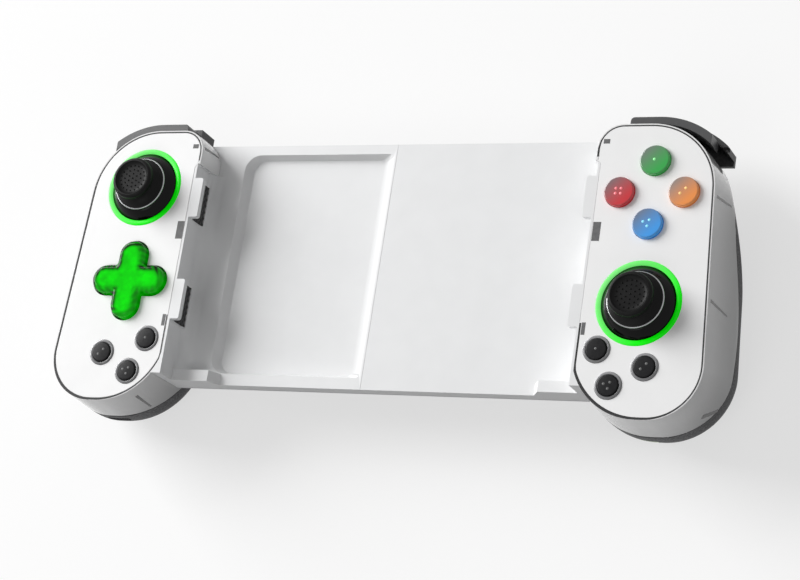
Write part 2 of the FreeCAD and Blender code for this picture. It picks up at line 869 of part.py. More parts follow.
def usb_socket():
    """Metal socket shell, open to the grip's bottom, with its tongue and back."""
    shell = usb_block(0).cut(box(0, far, -far, usb_mouth_y, 0, far))
    z = face_z - usb_depth
    inner = box(
        usb_x - usb_long / 2 + usb_wall, usb_x + usb_long / 2 - usb_wall,
        usb_mouth_y - over, usb_mouth_y + usb_deep - usb_back,
        z - usb_high / 2 + usb_wall, z + usb_high / 2 - usb_wall,
    )
    edges = [e for e in inner.Edges if e.BoundBox.YLength > 5]
    shell = shell.cut(inner.makeFillet(usb_high / 2 - usb_wall - usb_flat, edges))
    tongue = box(
        usb_x - usb_long / 2 + usb_tongue_side, usb_x + usb_long / 2 - usb_tongue_side,
        usb_mouth_y + usb_tongue_start, usb_mouth_y + usb_deep - usb_back + usb_tongue_root,
        z - usb_tongue / 2, z + usb_tongue / 2,
    )
    return join([shell, tongue])


def button_hole_list(side):
    """Plan place and radius of each round hole in a faceplate."""
    holes = []
    for _, x, y in key_places:
        holes.append((x, y, collar_outer_r + thread_gap))
    if side == "right":
        for _, x, y in cluster_places():
            holes.append((x, y, button_r + button_gap))
    return holes


def cluster_places():
    return (
        ("north", cluster_x, cluster_y + cluster_reach),
        ("east", cluster_x + cluster_reach, cluster_y),
        ("south", cluster_x, cluster_y - cluster_reach),
        ("west", cluster_x - cluster_reach, cluster_y),
    )


def faceplate(side):
    """White front with its holes and the screw pillars behind it."""
    plate = faceplate_outline(0, plate_under_z, face_z)
    parts = [plate]
    for x, y in screw_places:
        parts.append(rod(x, y, face_z - pillar_end_depth, plate_under_z + sink, pillar_r))
    plate = join(parts)
    for x, y in screw_places:
        pilot = rod(x, y, 0, plate_under_z - sink, screw_r + thread_gap)
        plate = plate.cut(pilot)
    x, y = stick_place(side)
    plate = plate.cut(rod(x, y, 0, far, ring_outer_r + thread_gap))
    for x, y, r in button_hole_list(side):
        plate = plate.cut(rod(x, y, 0, far, r))
    if side == "left":
        plate = plate.cut(cross_prism(dpad_gap, 0, far))
    return plate


def glow_ring(side):
    """Light ring round the stick, its inside following the dome."""
    x, y = stick_place(side)
    ring = rod(x, y, plate_under_z, face_z + ring_proud, ring_outer_r)
    flange = rod(x, y, plate_under_z - ring_flange_thick, plate_under_z, ring_outer_r + ring_flange_out)
    pivot = Vector(x, y, face_z - stick_pivot_depth)
    return join([ring, flange]).cut(Part.makeSphere(dome_r + dome_gap, pivot))


def stick_dome(side):
    """Dome round the stick's pivot, with the stem that takes the lever."""
    x, y = stick_place(side)
    z = face_z - stick_pivot_depth
    pivot = Vector(x, y, z)
    shell = Part.makeSphere(dome_r, pivot).cut(Part.makeSphere(dome_r - dome_wall, pivot))
    slab = box(x - far, x + far, y - far, y + far, z + dome_low, z + dome_top)
    shell = shell.common(slab)
    shoulder = rod(x, y, z + dome_top - dome_wall, z + dome_top, dome_shoulder_r)
    stem = rod(x, y, z + stem_low, z + dome_top, stem_r)
    bore = rod(x, y, z, z + lever_top + click_travel + lever_end_gap, lever_r + lever_gap)
    return join([shell, shoulder, stem]).cut(bore)


def stick_trim(side):
    x, y = stick_place(side)
    z = face_z - stick_pivot_depth + dome_top
    ring = rod(x, y, z, z + trim_high, trim_r).cut(rod(x, y, z, z + trim_high, trim_inner_r))
    top_edges = [e for e in ring.Edges if e.BoundBox.ZMin > z + trim_high - 0.01]
    edges = [e for e in top_edges if e.BoundBox.XLength > 2 * trim_r - 0.1]
    return ring.makeFillet(trim_round, edges)


def stick_cap(side):
    """Rubber cap: a flared skirt, a neck and a dished top."""
    x, y = stick_place(side)
    z = face_z - stick_pivot_depth
    seat = z + dome_top
    skirt = seat + trim_high
    top = z + cap_top
    rim_low = top - cap_rim_high
    neck_top = rim_low - cap_neck_step
    spigot_r = trim_inner_r - thread_gap
    flare_r = cap_neck_r + (cap_skirt_r - cap_neck_r) * cap_flare
    flare_z = (skirt + neck_top) / 2
    edge_in = cap_edge * (1 - math.sqrt(0.5))

    def at(r, h):
        return Vector(x + r, y, h)

    edges = [
        Part.LineSegment(at(0, seat), at(spigot_r, seat)).toShape(),
        Part.LineSegment(at(spigot_r, seat), at(spigot_r, skirt)).toShape(),
        Part.LineSegment(at(spigot_r, skirt), at(cap_skirt_r, skirt)).toShape(),
        Part.Arc(at(cap_skirt_r, skirt), at(flare_r, flare_z), at(cap_neck_r, neck_top)).toShape(),
        Part.LineSegment(at(cap_neck_r, neck_top), at(cap_r - cap_lip_in, rim_low)).toShape(),
        Part.LineSegment(at(cap_r - cap_lip_in, rim_low), at(cap_r, rim_low + cap_lip)).toShape(),
        Part.LineSegment(at(cap_r, rim_low + cap_lip), at(cap_r, top - cap_edge)).toShape(),
        Part.Arc(
            at(cap_r, top - cap_edge), at(cap_r - edge_in, top - edge_in), at(cap_r - cap_edge, top),
        ).toShape(),
        Part.LineSegment(at(cap_r - cap_edge, top), at(0, top)).toShape(),
        Part.LineSegment(at(0, top), at(0, seat)).toShape(),
    ]
    face = Part.Face(Part.Wire(edges))
    cap = face.revolve(Vector(x, y, 0), Vector(0, 0, 1), 360)
    dish_r = cap_r - cap_edge - cap_rim_flat
    ball_r = (dish_r ** 2 + cap_dish ** 2) / (2 * cap_dish)
    return cap.cut(Part.makeSphere(ball_r, Vector(x, y, top - cap_dish + ball_r)))


def stick_base(side):
    """Module base: a plate and two ears that carry the gimbal ring."""
    x, y = stick_place(side)
    z = face_z - stick_pivot_depth
    low = face_z - base_depth
    half = base_size / 2
    plate = box(x - half, x + half, y - half, y + half, low - base_thick, low)
    parts = [plate]
    inner = gimbal_long / 2 + rocker_gap
    for sign in (-1, 1):
        ends = sorted((x + sign * inner, x + sign * (inner + ear_thick)))
        parts.append(box(ends[0], ends[1], y - ear_half, y + ear_half, low - sink, z + ear_above))
    bore = rod_x(x - half, x + half, y, z, trunnion_r + trunnion_gap)
    return join(parts).cut(bore)


def stick_gimbal(side):
    """Ring that rocks about X in the base, and carries the rocker about Y."""
    x, y = stick_place(side)
    z = face_z - stick_pivot_depth
    long = gimbal_long / 2
    wide = gimbal_wide / 2
    low = z - gimbal_high / 2
    high = z + gimbal_high / 2
    ring = box(x - long, x + long, y - wide, y + wide, low, high)
    ring = ring.cut(box(
        x - long + gimbal_bar, x + long - gimbal_bar,
        y - wide + gimbal_bar, y + wide - gimbal_bar, low, high,
    ))
    parts = [ring]
    for sign in (-1, 1):
        ends = sorted((x + sign * (long - sink), x + sign * (long + rocker_gap + ear_thick)))
        parts.append(rod_x(ends[0], ends[1], y, z, trunnion_r))
    bore = rod_y(x, y - far, y + far, z, trunnion_r + trunnion_gap)
    return join(parts).cut(bore)


def stick_rocker(side):
    """Block that rocks about Y in the gimbal ring, with the lever for the stick."""
    x, y = stick_place(side)
    z = face_z - stick_pivot_depth
    inner = gimbal_wide / 2 - gimbal_bar - rocker_gap
    half = gimbal_high / 2
    block = box(x - rocker_half, x + rocker_half, y - inner, y + inner, z - half, z + half)
    pins = rod_y(x, y - gimbal_wide / 2, y + gimbal_wide / 2, z, trunnion_r)
    lever = rod(x, y, z, z + lever_top, lever_r)
    return join([block, pins, lever])


def bar_wire(reach, half, turned, z):
    """Outline of one bar of the pad: straight sides and round ends."""
    run = reach - half
    corners = ((run, half), (reach, 0), (run, -half), (-run, -half), (-reach, 0), (-run, half))
    points = []
    for a, b in corners:
        if turned:
            points.append(Vector(dpad_x - b, dpad_y + a, z))
        else:
            points.append(Vector(dpad_x + a, dpad_y + b, z))
    edges = [
        Part.Arc(points[0], points[1], points[2]).toShape(),
        Part.LineSegment(points[2], points[3]).toShape(),
        Part.Arc(points[3], points[4], points[5]).toShape(),
        Part.LineSegment(points[5], points[0]).toShape(),
    ]
    return Part.Wire(edges)


def cross_prism(out, z0, z1):
    """Cross outline of the direction pad, let out by a gap."""
    reach = dpad_reach + out
    half = dpad_arm / 2 + out
    bars = []
    for turned in (False, True):
        bars.append(Part.Face(bar_wire(reach, half, turned, z0)).extrude(Vector(0, 0, z1 - z0)))
    return join(bars)


def dpad():
    """Direction pad: a rounded cross on a round skirt, with ears for its pivot cross."""
    top = face_z + dpad_proud
    skirt_z = face_z - dpad_skirt_depth
    cross = cross_prism(0, skirt_z - sink, top)
    rim = [e for e in cross.Edges if e.BoundBox.ZMin > top - 0.01]
    cross = cross.makeFillet(dpad_fillet, rim)
    skirt = rod(dpad_x, dpad_y, skirt_z - dpad_skirt_thick, skirt_z, dpad_skirt_r)
    body = join([cross, skirt])
    half = dpad_pocket / 2
    body = body.cut(box(
        dpad_x - half, dpad_x + half, dpad_y - half, dpad_y + half, 0, face_z - dpad_pocket_depth,
    ))
    z = face_z - dpad_pivot_depth
    parts = [body]
    for sign in (-1, 1):
        y = dpad_y + sign * cross_ear_out
        parts.append(box(
            dpad_x - cross_ear_wide / 2, dpad_x + cross_ear_wide / 2,
            y - cross_ear_thick / 2, y + cross_ear_thick / 2,
            z - cross_ear_round, face_z - dpad_pocket_depth + sink,
        ))
    bore = rod_y(dpad_x, dpad_y - half, dpad_y + half, z, cross_pin_r + trunnion_gap)
    return join(parts).cut(bore)


def dpad_cross():
    z = face_z - dpad_pivot_depth
    reach = cross_ear_out + cross_ear_thick / 2
    half = cross_block / 2
    block = box(
        dpad_x - half, dpad_x + half, dpad_y - half, dpad_y + half, z - cross_pin_r, z + cross_pin_r,
    )
    return join([
        block,
        rod_x(dpad_x - reach, dpad_x + reach, dpad_y, z, cross_pin_r),
        rod_y(dpad_x, dpad_y - reach, dpad_y + reach, z, cross_pin_r),
    ])


def round_button(x, y, r, proud, round_r, drop, thick, out):
    """Round cap with a softened top and a flange below the faceplate."""
    top = face_z + proud
    low = plate_under_z - drop - thick
    cap = rod(x, y, low, top, r)
    rim = [e for e in cap.Edges if e.BoundBox.ZMin > top - 0.01]
    cap = cap.makeFillet(round_r, rim)
    return join([cap, rod(x, y, low, low + thick, r + out)])


def face_button(x, y):
    return round_button(
        x, y, button_r, button_proud, button_round, flange_drop, flange_thick, flange_out,
    )


def small_key(x, y):
    return round_button(
        x, y, key_r, key_proud, key_round, flange_drop, flange_thick, key_flange_out,
    )


def key_collars():
    rings = []
    for _, x, y in key_places:
        ring = rod(x, y, plate_under_z, face_z + collar_proud, collar_outer_r)
        rings.append(ring.cut(rod(x, y, plate_under_z, far, key_r + key_gap)))
    return Part.makeCompound(rings)


def board_outline(inset, z0, z1, side):
    """Flat sheet inside the grip, open round the stick and the screw pillars."""
    x, y = stick_place(side)
    sheet = plan_prism(wall - rim_width + inset, z0, z1)
    sheet = sheet.cut(box(-far, far, board_top_y - inset + board_margin, far, 0, far))
    sheet = sheet.cut(rod(x, y, 0, far, dome_r + board_hole_gap + inset - board_margin))
    for px, py in screw_places:
        sheet = sheet.cut(rod(px, py, 0, far, pillar_r + board_hole_gap + inset - board_margin))
    return sheet


def board(side):
    """Circuit board; the left one carries the bracket of the pad's pivot cross."""
    sheet = board_outline(board_margin, board_z - board_thick, board_z, side)
    if side == "right":
        return sheet
    z = face_z - dpad_pivot_depth
    parts = [sheet]
    for sign in (-1, 1):
        x = dpad_x + sign * cross_ear_out
        ear = box(
            x - cross_ear_thick / 2, x + cross_ear_thick / 2,
            dpad_y - cross_ear_wide / 2, dpad_y + cross_ear_wide / 2,
            board_z, z + cross_ear_round,
        )
        bore_r = cross_pin_r + trunnion_gap
        parts.append(ear.cut(rod_x(x - cross_ear_thick, x + cross_ear_thick, dpad_y, z, bore_r)))
    return Part.makeCompound(parts)


def key_mat(side):
    """Silicone mat with a bead under every key, button and pad arm."""
    mat = board_outline(board_margin + mat_margin, board_z, board_z + mat_thick, side)
    key_low = plate_under_z - flange_drop - flange_thick - bead_gap
    beads = []
    for _, x, y in key_places:
        beads.append((x, y, key_low))
    if side == "right":
        for _, x, y in cluster_places():
            beads.append((x, y, key_low))
    else:
        half = cross_ear_out + cross_ear_thick + mat_window_gap
        mat = mat.cut(box(dpad_x - half, dpad_x + half, dpad_y - half, dpad_y + half, 0, far))
        skirt_low = face_z - dpad_skirt_depth - dpad_skirt_thick - bead_gap
        for a, b in ((1, 0), (0, 1), (-1, 0), (0, -1)):
            beads.append((dpad_x + a * bead_reach, dpad_y + b * bead_reach, skirt_low))
    parts = [mat]
    for x, y, top in beads:
        parts.append(rod(x, y, board_z, top, bead_r))
    return join(parts)


def shoulder_form(r, z0, z1):
    """Flat top that runs out into one large round corner, which both shoulder keys follow."""
    corner = rod(shoulder_x, shoulder_y, z0, z1, r)
    return corner.fuse(box(0, shoulder_x, shoulder_y, shoulder_y + r, z0, z1))


def bumper():
    """Curved key along the grip's top edge, turning on a pin at its inner end."""
    front = face_z - bumper_front
    back = face_z - bumper_back
    outer = shoulder_y + bumper_curve_r
    inner = outer - bumper_thick
    hollow = shoulder_form(bumper_curve_r - bumper_thick, back - over, front + over)
    band = shoulder_form(bumper_curve_r, back, front).cut(hollow)
    band = band.common(box(bumper_inner_x, bumper_outer_x, shoulder_y, far, back, front))
    uprights = [e for e in band.Edges if e.BoundBox.ZLength > 5 and e.BoundBox.XMax < bumper_inner_x + 0.1]
    band = band.makeFillet(bumper_end_round, [e for e in uprights if e.BoundBox.YMin > outer - 0.1])
    lug_front = face_z - bumper_lug_front
    lug_back = face_z - bumper_lug_back
    arm = box(
        bumper_pin_x - bumper_lug_r, bumper_pin_x + bumper_lug_r,
        bumper_pin_y, inner + sink, lug_back, lug_front,
    )
    knuckle = rod(bumper_pin_x, bumper_pin_y, lug_back, lug_front, bumper_lug_r)
    plunger = box(
        plunger_x - plunger_wide / 2, plunger_x + plunger_wide / 2,
        plunger_end_y, inner + plunger_root,
        face_z - plunger_back, face_z - plunger_front,
    )
    body = join([band, arm, knuckle, plunger])
    return body.cut(rod(bumper_pin_x, bumper_pin_y, 0, far, bumper_pin_r + pin_fit))


def trigger():
    """Hollow trigger behind the bumper, with a round skirt about its pin."""
    front = face_z - trigger_front
    back = face_z - trigger_back
    y = trigger_pin_y
    z = face_z - trigger_pin_depth
    reach = box(trigger_inner_x, trigger_outer_x, trigger_low_y, far, back, front)
    block = shoulder_form(trigger_curve_r, back, front).common(reach)
    hollow = shoulder_form(trigger_curve_r - trigger_wall, back + trigger_wall, front + over)
    band = block.cut(hollow)
    end_cap = block.common(box(trigger_inner_x, trigger_inner_x + trigger_cap_thick, 0, far, back, front))
    skirt_end = trigger_arm_places[1] + trigger_skirt_out
    skirt = rod_x(trigger_inner_x, skirt_end, y, z, trigger_skirt_r)
    skirt = skirt.cut(rod_x(trigger_inner_x, skirt_end, y, z, trigger_skirt_r - trigger_skirt_wall))
    skirt = skirt.common(box(0, far, y - trigger_skirt_low, trigger_low_y + trigger_skirt_root, back, z))
    parts = [band, end_cap, skirt]
    for x in trigger_arm_places:
        half = trigger_arm_thick / 2
        arm = box(
            x - half, x + half, y - trigger_arm_low, far,
            back + trigger_arm_margin, front - trigger_arm_margin,
        )
        arm = arm.common(shoulder_form(trigger_curve_r - trigger_wall / 2, back, front))
        parts.append(arm)
        parts.append(rod_x(x - half, x + half, y, z, trigger_hub_r))
    body = join(parts)
    return body.cut(rod_x(0, far, y, z, trigger_pin_r + pin_fit))


def shoulder_pins():
    """Pin of the bumper, upright, and pin of the trigger, along X."""
    low = face_z - bumper_lug_back - bracket_gap - bracket_thick
    high = face_z - bumper_lug_front + bracket_gap + bracket_thick
    upright = rod(bumper_pin_x, bumper_pin_y, low, high, bumper_pin_r)
    z = face_z - trigger_pin_depth
    level = rod_x(trigger_pin_ends[0], trigger_pin_ends[1], trigger_pin_y, z, trigger_pin_r)
    return Part.makeCompound([upright, level])


def trigger_spring():
    """Torsion spring round the trigger's pin, drawn as a plain sleeve between the ears."""
    x0 = trigger_ear_places[0] + trigger_ear_thick + spring_end_gap
    x1 = trigger_ear_places[1] - spring_end_gap
    z = face_z - trigger_pin_depth
    sleeve = rod_x(x0, x1, trigger_pin_y, z, spring_coil_r + spring_wire / 2)
    return sleeve.cut(rod_x(x0, x1, trigger_pin_y, z, spring_coil_r - spring_wire / 2))


def screws():
    """Shell screws and the bridge half's small screws."""
    parts = []
    seat = face_z - screw_seat_depth
    for x, y in screw_places:
        head = rod(x, y, seat - screw_head_high, seat, screw_head_r)
        shank = rod(x, y, seat, face_z - pillar_end_depth + screw_bite, screw_r)
        parts.append(join([head, shank]))
    low = tray_under_z - back_thick
    for x, y in tray_screw_list():
        head = rod(x, y, low, low + tray_screw_head_high, tray_screw_head_r)
        shank = rod(x, y, low, tray_z - tray_skin - tray_screw_end_gap, tray_screw_r)
        parts.append(join([head, shank]))
    return Part.makeCompound(parts)


def battery():
    half_x = battery_wide / 2
    half_y = battery_long / 2
    high = face_z - battery_front
    cell = box(
        battery_x - half_x, battery_x + half_x, battery_y - half_y, battery_y + half_y,
        high - battery_thick, high,
    )
    edges = [e for e in cell.Edges if e.BoundBox.YLength > 10]
    return cell.makeFillet(battery_round, edges)


def build_side(side):
    """Every piece that both grips have."""
    place = mirrored if side == "left" else (lambda shape: shape)
    outer = grip_loft(0)
    cavity = grip_loft(wall)
    seam = seam_prism()
    inner_x = butt_gap / 2 - butt_x if side == "left" else butt_gap / 2 + butt_x
    save(side + "_tray", place(tray_body(inner_x, side)))
    save(side + "_tray_back", place(tray_back(inner_x)))
    save(side + "_grip_pads", place(grip_pads()))
    save(side + "_faceplate", place(faceplate(side)))
    save(side + "_housing", place(housing(outer, cavity, seam)))
    save(side + "_rear_shell", place(rear_shell(outer, cavity, seam, side)))
    save(side + "_glow_ring", place(glow_ring(side)))
    save(side + "_stick_dome", place(stick_dome(side)))
    save(side + "_stick_trim", place(stick_trim(side)))
    save(side + "_stick_cap", place(stick_cap(side)))
    save(side + "_stick_base", place(stick_base(side)))
    save(side + "_stick_gimbal", place(stick_gimbal(side)))
    save(side + "_stick_rocker", place(stick_rocker(side)))
    save(side + "_board", place(board(side)))
    save(side + "_key_mat", place(key_mat(side)))
    save(side + "_key_collars", place(key_collars()))
    for name, x, y in key_places:
        save(side + "_key_" + name, place(small_key(x, y)))
    save(side + "_bumper", place(bumper()))
    save(side + "_trigger", place(trigger()))
    save(side + "_shoulder_pins", place(shoulder_pins()))
    save(side + "_trigger_spring", place(trigger_spring()))
    save(side + "_screws", place(screws()))
    if side == "left":
        save("dpad", place(dpad()))
        save("dpad_cross", place(dpad_cross()))
        save("usb_socket", place(usb_socket()))
        save("battery", place(battery()))
    else:
        save("status_light", place(status_light(outer)))
        for name, x, y in cluster_places():
            save("button_" + name, face_button(x, y))


build_side("left")
build_side("right")
save("bridge_slider", slider())
save("return_springs", return_springs())
save("ribbon_cable", ribbon_cable())
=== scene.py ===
import json
import math

import bmesh
import bpy
import numpy as np
from mathutils import Matrix, Vector
from mathutils.bvhtree import BVHTree


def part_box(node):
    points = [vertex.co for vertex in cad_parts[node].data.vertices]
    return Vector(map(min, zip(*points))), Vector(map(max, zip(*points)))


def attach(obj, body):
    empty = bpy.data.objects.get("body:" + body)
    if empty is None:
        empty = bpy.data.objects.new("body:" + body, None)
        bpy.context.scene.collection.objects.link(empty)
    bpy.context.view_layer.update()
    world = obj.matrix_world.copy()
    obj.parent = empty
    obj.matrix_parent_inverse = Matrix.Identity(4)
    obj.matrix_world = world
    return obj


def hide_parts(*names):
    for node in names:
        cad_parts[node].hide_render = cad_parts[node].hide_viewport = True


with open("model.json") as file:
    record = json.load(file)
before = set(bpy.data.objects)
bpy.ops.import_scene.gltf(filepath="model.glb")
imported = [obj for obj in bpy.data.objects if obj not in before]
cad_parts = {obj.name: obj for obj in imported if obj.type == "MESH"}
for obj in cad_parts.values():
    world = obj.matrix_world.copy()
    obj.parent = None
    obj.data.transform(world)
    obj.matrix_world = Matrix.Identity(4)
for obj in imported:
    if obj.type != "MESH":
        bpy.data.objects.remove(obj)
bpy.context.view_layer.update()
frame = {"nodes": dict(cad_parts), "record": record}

record = frame["record"]
mm = 0.001
bodyOfNode = {node: body for body, nodes in record["behaviour"]["bodies"].items() for node in nodes}
slotOfNode = {row["node"]: row["material_slot"] for row in record["subparts"]}
jointByName = {row["name"]: row for row in record["behaviour"]["joints"]}
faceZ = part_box("right_faceplate")[1][2]      # front of the faceplates
sides = (("left", -1.0), ("right", 1.0))
sharpFrom = 38.0             # degrees between two faces, from which their edge stays sharp
samePoint = 1e-7             # metres between points of a new mesh that become one
nearAxis = 0.01              # millimetres from its axis at which a turned section starts and ends
dotAxis = 0.001              # the same for a dot
castStart = 0.12             # metres from the grip's middle at which level rays start
upwards = (0.0, 0.0, 1.0)


# meshes from grids of points

# Faces of a grid: each row of points is joined to the next one. Rows may close on themselves,
# and an end may close on one pole point at the middle of its row.
def gridMesh(name, points, closeRow=True, closeColumn=False, poles=(False, False)):
    rows, columns = points.shape[:2]
    index = np.arange(rows * columns).reshape(rows, columns)
    a = index if closeColumn else index[:-1]
    b = np.roll(index, -1, axis=0) if closeColumn else index[1:]
    if closeRow:
        quads = np.stack([a, np.roll(a, -1, axis=1), np.roll(b, -1, axis=1), b], axis=-1)
    else:
        quads = np.stack([a[:, :-1], a[:, 1:], b[:, 1:], b[:, :-1]], axis=-1)
    faces = quads.reshape(-1, 4).tolist()
    vertices = points.reshape(-1, 3)
    for end, wanted in enumerate(poles):
        if wanted:
            row = index[-1 if end else 0]
            pole = len(vertices)
            vertices = np.vstack([vertices, points[-1 if end else 0].mean(axis=0)])
            after = np.roll(row, -1)
            middle = np.full(columns, pole)
            fan = np.stack([row, after, middle] if end else [after, row, middle], axis=-1)
            faces += fan.tolist()
    mesh = bpy.data.meshes.new(name)
    mesh.from_pydata(vertices.tolist(), [], faces)
    mesh.validate()
    return mesh


# Normals outwards, and smooth faces with edges kept sharp above an angle.
def tidyMesh(mesh, sharpDegrees):
    work = bmesh.new()
    work.from_mesh(mesh)
    bmesh.ops.remove_doubles(work, verts=work.verts, dist=samePoint)
    bmesh.ops.recalc_face_normals(work, faces=work.faces)
    work.to_mesh(mesh)
    work.free()
    mesh.shade_smooth()
    mesh.set_sharp_from_angle(angle=math.radians(sharpDegrees))


# A new piece: it rides on the body of the node that it stands for, or that carries it.
def addPiece(name, mesh, material, node, stands=False, sharpDegrees=sharpFrom):
    tidyMesh(mesh, sharpDegrees)
    mesh.materials.append(material)
    piece = bpy.data.objects.new(name, mesh)
    bpy.context.collection.objects.link(piece)
    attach(piece, bodyOfNode[node])
    if stands:
        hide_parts(node)
    return piece


# A closed section turned round an upright axis: radius and height of the section, angle round the axis.
def latheGrid(section, centre, steps=96):
    angle = np.linspace(0, 2 * np.pi, steps, endpoint=False)
    r, z = np.asarray(section, float).T
    x = centre[0] + r[:, None] * np.cos(angle)
    y = centre[1] + r[:, None] * np.sin(angle)
    return np.stack([x, y, np.broadcast_to(z[:, None], x.shape)], axis=-1)


# Points on an arc of a section, from one angle to another, in degrees.
def arcPoints(centre, radius, start, end, count):
    angle = np.radians(np.linspace(start, end, count))
    return np.stack([centre[0] + radius * np.cos(angle), centre[1] + radius * np.sin(angle)], axis=-1)


# One closed section from single points and rows of points.
def sectionOf(*parts):
    return np.vstack([np.atleast_2d(np.asarray(part, float)) for part in parts])


# One number per point of a mesh, worked out from its place, for a material to read as its paint.
def paintAttribute(piece, formula):
    mesh = piece.data
    place = np.empty(len(mesh.vertices) * 3)
    mesh.vertices.foreach_get("co", place)
    value = np.clip(formula(place.reshape(-1, 3)), 0.0, 1.0)
    layer = mesh.attributes.new("paint", "FLOAT", "POINT")
    layer.data.foreach_set("value", value.astype(np.float32))


# strips that lie on a surface

def surfaceTree(node):
    work = bmesh.new()
    work.from_mesh(frame["nodes"][node].data)
    tree = BVHTree.FromBMesh(work)
    work.free()
    return tree


# A flat strip along a row of places: its width and its height stand square to the path.
def stripMesh(name, places, normals, width, proud, sunk):
    places = np.asarray(places, float)
    normals = np.asarray(normals, float)
    along = np.gradient(places, axis=0)
    along /= np.linalg.norm(along, axis=1)[:, None]
    across = np.cross(normals, along)
    across /= np.linalg.norm(across, axis=1)[:, None]
    half = np.broadcast_to(np.asarray(width, float), len(places))[:, None] / 2
    points = np.stack([
        places + across * half + normals * proud, places - across * half + normals * proud,
        places - across * half - normals * sunk, places + across * half - normals * sunk,
    ], axis=1)
    return gridMesh(name, points, poles=(True, True))


# Places where level rays from outside, aimed at the grip's middle, meet a surface.
def castLevel(tree, centre, angles, heights):
    found = []
    for angle, height in zip(angles, heights):
        out = Vector((math.cos(angle), math.sin(angle), 0))
        hit = tree.ray_cast(Vector((centre[0], centre[1], height)) + out * castStart, -out)
        found.append((hit[0], hit[1]) if hit[0] is not None else (None, None))
    return found


# materials

def shaderOf(name):
    material = bpy.data.materials.new(name)
    material.use_nodes = True
    return material, material.node_tree, material.node_tree.nodes["Principled BSDF"]


def addNode(tree, kind, **values):
    node = tree.nodes.new(kind)
    for key, value in values.items():
        if hasattr(node, key):
            setattr(node, key, value)
        else:
            node.inputs[key].default_value = value
    return node


deepAt = 24.0                # millimetres down the grip's side at which a smoky side reaches its painted shade
highlightFrom, highlightTo = 18.0, 40.0    # height on the grip, in millimetres, over which a painted highlight turns it pale

plainLook = {
    "spread": 0.08, "cloudScale": 120.0, "rough": 0.4, "grain": 0.08, "grainScale": 2500.0, "metal": 0.0,
    "clear": 0.0, "coat": 0.0, "shine": 0.5, "glow": 0.0,
    "roughSpread": 0.05, "roughLeast": 0.02, "ior": 1.48, "coatRough": 0.06, "grainDeep": 0.1,
    "cloudFrom": 0.3, "cloudTo": 0.7,
}


# A colour output with a second colour mixed in by a factor output.
def secondColour(tree, factorOut, colourOut, second):
    blend = addNode(tree, "ShaderNodeMix", data_type="RGBA")
    tree.links.new(factorOut, blend.inputs["Factor"])
    tree.links.new(colourOut, blend.inputs[6])
    blend.inputs[7].default_value = (*second, 1)
    return blend.outputs[2]


# Share that rises smoothly from 0 to 1 while one coordinate goes from a start to an end, in metres.
def smoothShare(tree, place, axis, start, end):
    split = addNode(tree, "ShaderNodeSeparateXYZ")
    tree.links.new(place, split.inputs["Vector"])
    rise = addNode(tree, "ShaderNodeMapRange", interpolation_type="SMOOTHSTEP")
    rise.inputs["From Min"].default_value = start
    rise.inputs["From Max"].default_value = end
    tree.links.new(split.outputs[axis], rise.inputs["Value"])
    return rise.outputs["Result"]


# Moulded material: two close shades mixed by a cloudy noise, roughness that wanders with it,
# and a fine grain as bump. The look gives its colours, gloss, grain, clearness and emission, which is painted
# light where the piece is no lamp.
def moulded(name, changes):
    look = {**plainLook, **changes}
    material, tree, shader = shaderOf(name)
    link = tree.links.new
    place = addNode(tree, "ShaderNodeTexCoord").outputs["Object"]
    cloud = addNode(tree, "ShaderNodeTexNoise", Scale=look["cloudScale"], Detail=5.0)
    link(place, cloud.inputs["Vector"])
    shade = addNode(tree, "ShaderNodeValToRGB")
    colour = np.array(look["colour"])
    dark, pale = shade.color_ramp.elements
    dark.position = look["cloudFrom"]
    dark.color = (*(colour * (1 - look["spread"])), 1)
    pale.position = look["cloudTo"]
    pale.color = (*np.minimum(colour * (1 + look["spread"] / 2), 1.0), 1)
    link(cloud.outputs["Fac"], shade.inputs["Fac"])
    colourOut = shade.outputs["Color"]
    if "paint" in look:                      # second colour where the painted attribute is high
        attribute = addNode(tree, "ShaderNodeAttribute", attribute_name="paint")
        colourOut = secondColour(tree, attribute.outputs["Fac"], colourOut, look["paint"])
    if "deep" in look:                       # painted shade: a second, darker colour down the side of the grip
        share = smoothShare(tree, place, "Z", faceZ, faceZ - deepAt * mm)
        colourOut = secondColour(tree, share, colourOut, look["deep"])
    if "pale" in look:                       # painted highlight: a third, paler colour towards the shoulder keys
        share = smoothShare(tree, place, "Y", highlightFrom * mm, highlightTo * mm)
        colourOut = secondColour(tree, share, colourOut, look["pale"])
    link(colourOut, shader.inputs["Base Color"])
    wander = addNode(tree, "ShaderNodeMapRange")
    wander.inputs["To Min"].default_value = max(look["rough"] - look["roughSpread"], look["roughLeast"])
    wander.inputs["To Max"].default_value = min(look["rough"] + look["roughSpread"], 1.0)
    link(cloud.outputs["Fac"], wander.inputs["Value"])
    link(wander.outputs["Result"], shader.inputs["Roughness"])
    grain = addNode(tree, "ShaderNodeTexNoise", Scale=look["grainScale"], Detail=3.0)
    link(place, grain.inputs["Vector"])
    bump = addNode(tree, "ShaderNodeBump", Strength=look["grain"], Distance=look["grainDeep"] * mm)
    link(grain.outputs["Fac"], bump.inputs["Height"])
    link(bump.outputs["Normal"], shader.inputs["Normal"])
    shader.inputs["Metallic"].default_value = look["metal"]
    shader.inputs["Transmission Weight"].default_value = look["clear"]
    shader.inputs["IOR"].default_value = look["ior"]
    shader.inputs["Coat Weight"].default_value = look["coat"]
    shader.inputs["Coat Roughness"].default_value = look["coatRough"]
    shader.inputs["Specular IOR Level"].default_value = look["shine"]
    if look["glow"] > 0:
        link(colourOut, shader.inputs["Emission Color"])
        shader.inputs["Emission Strength"].default_value = look["glow"]
    return material


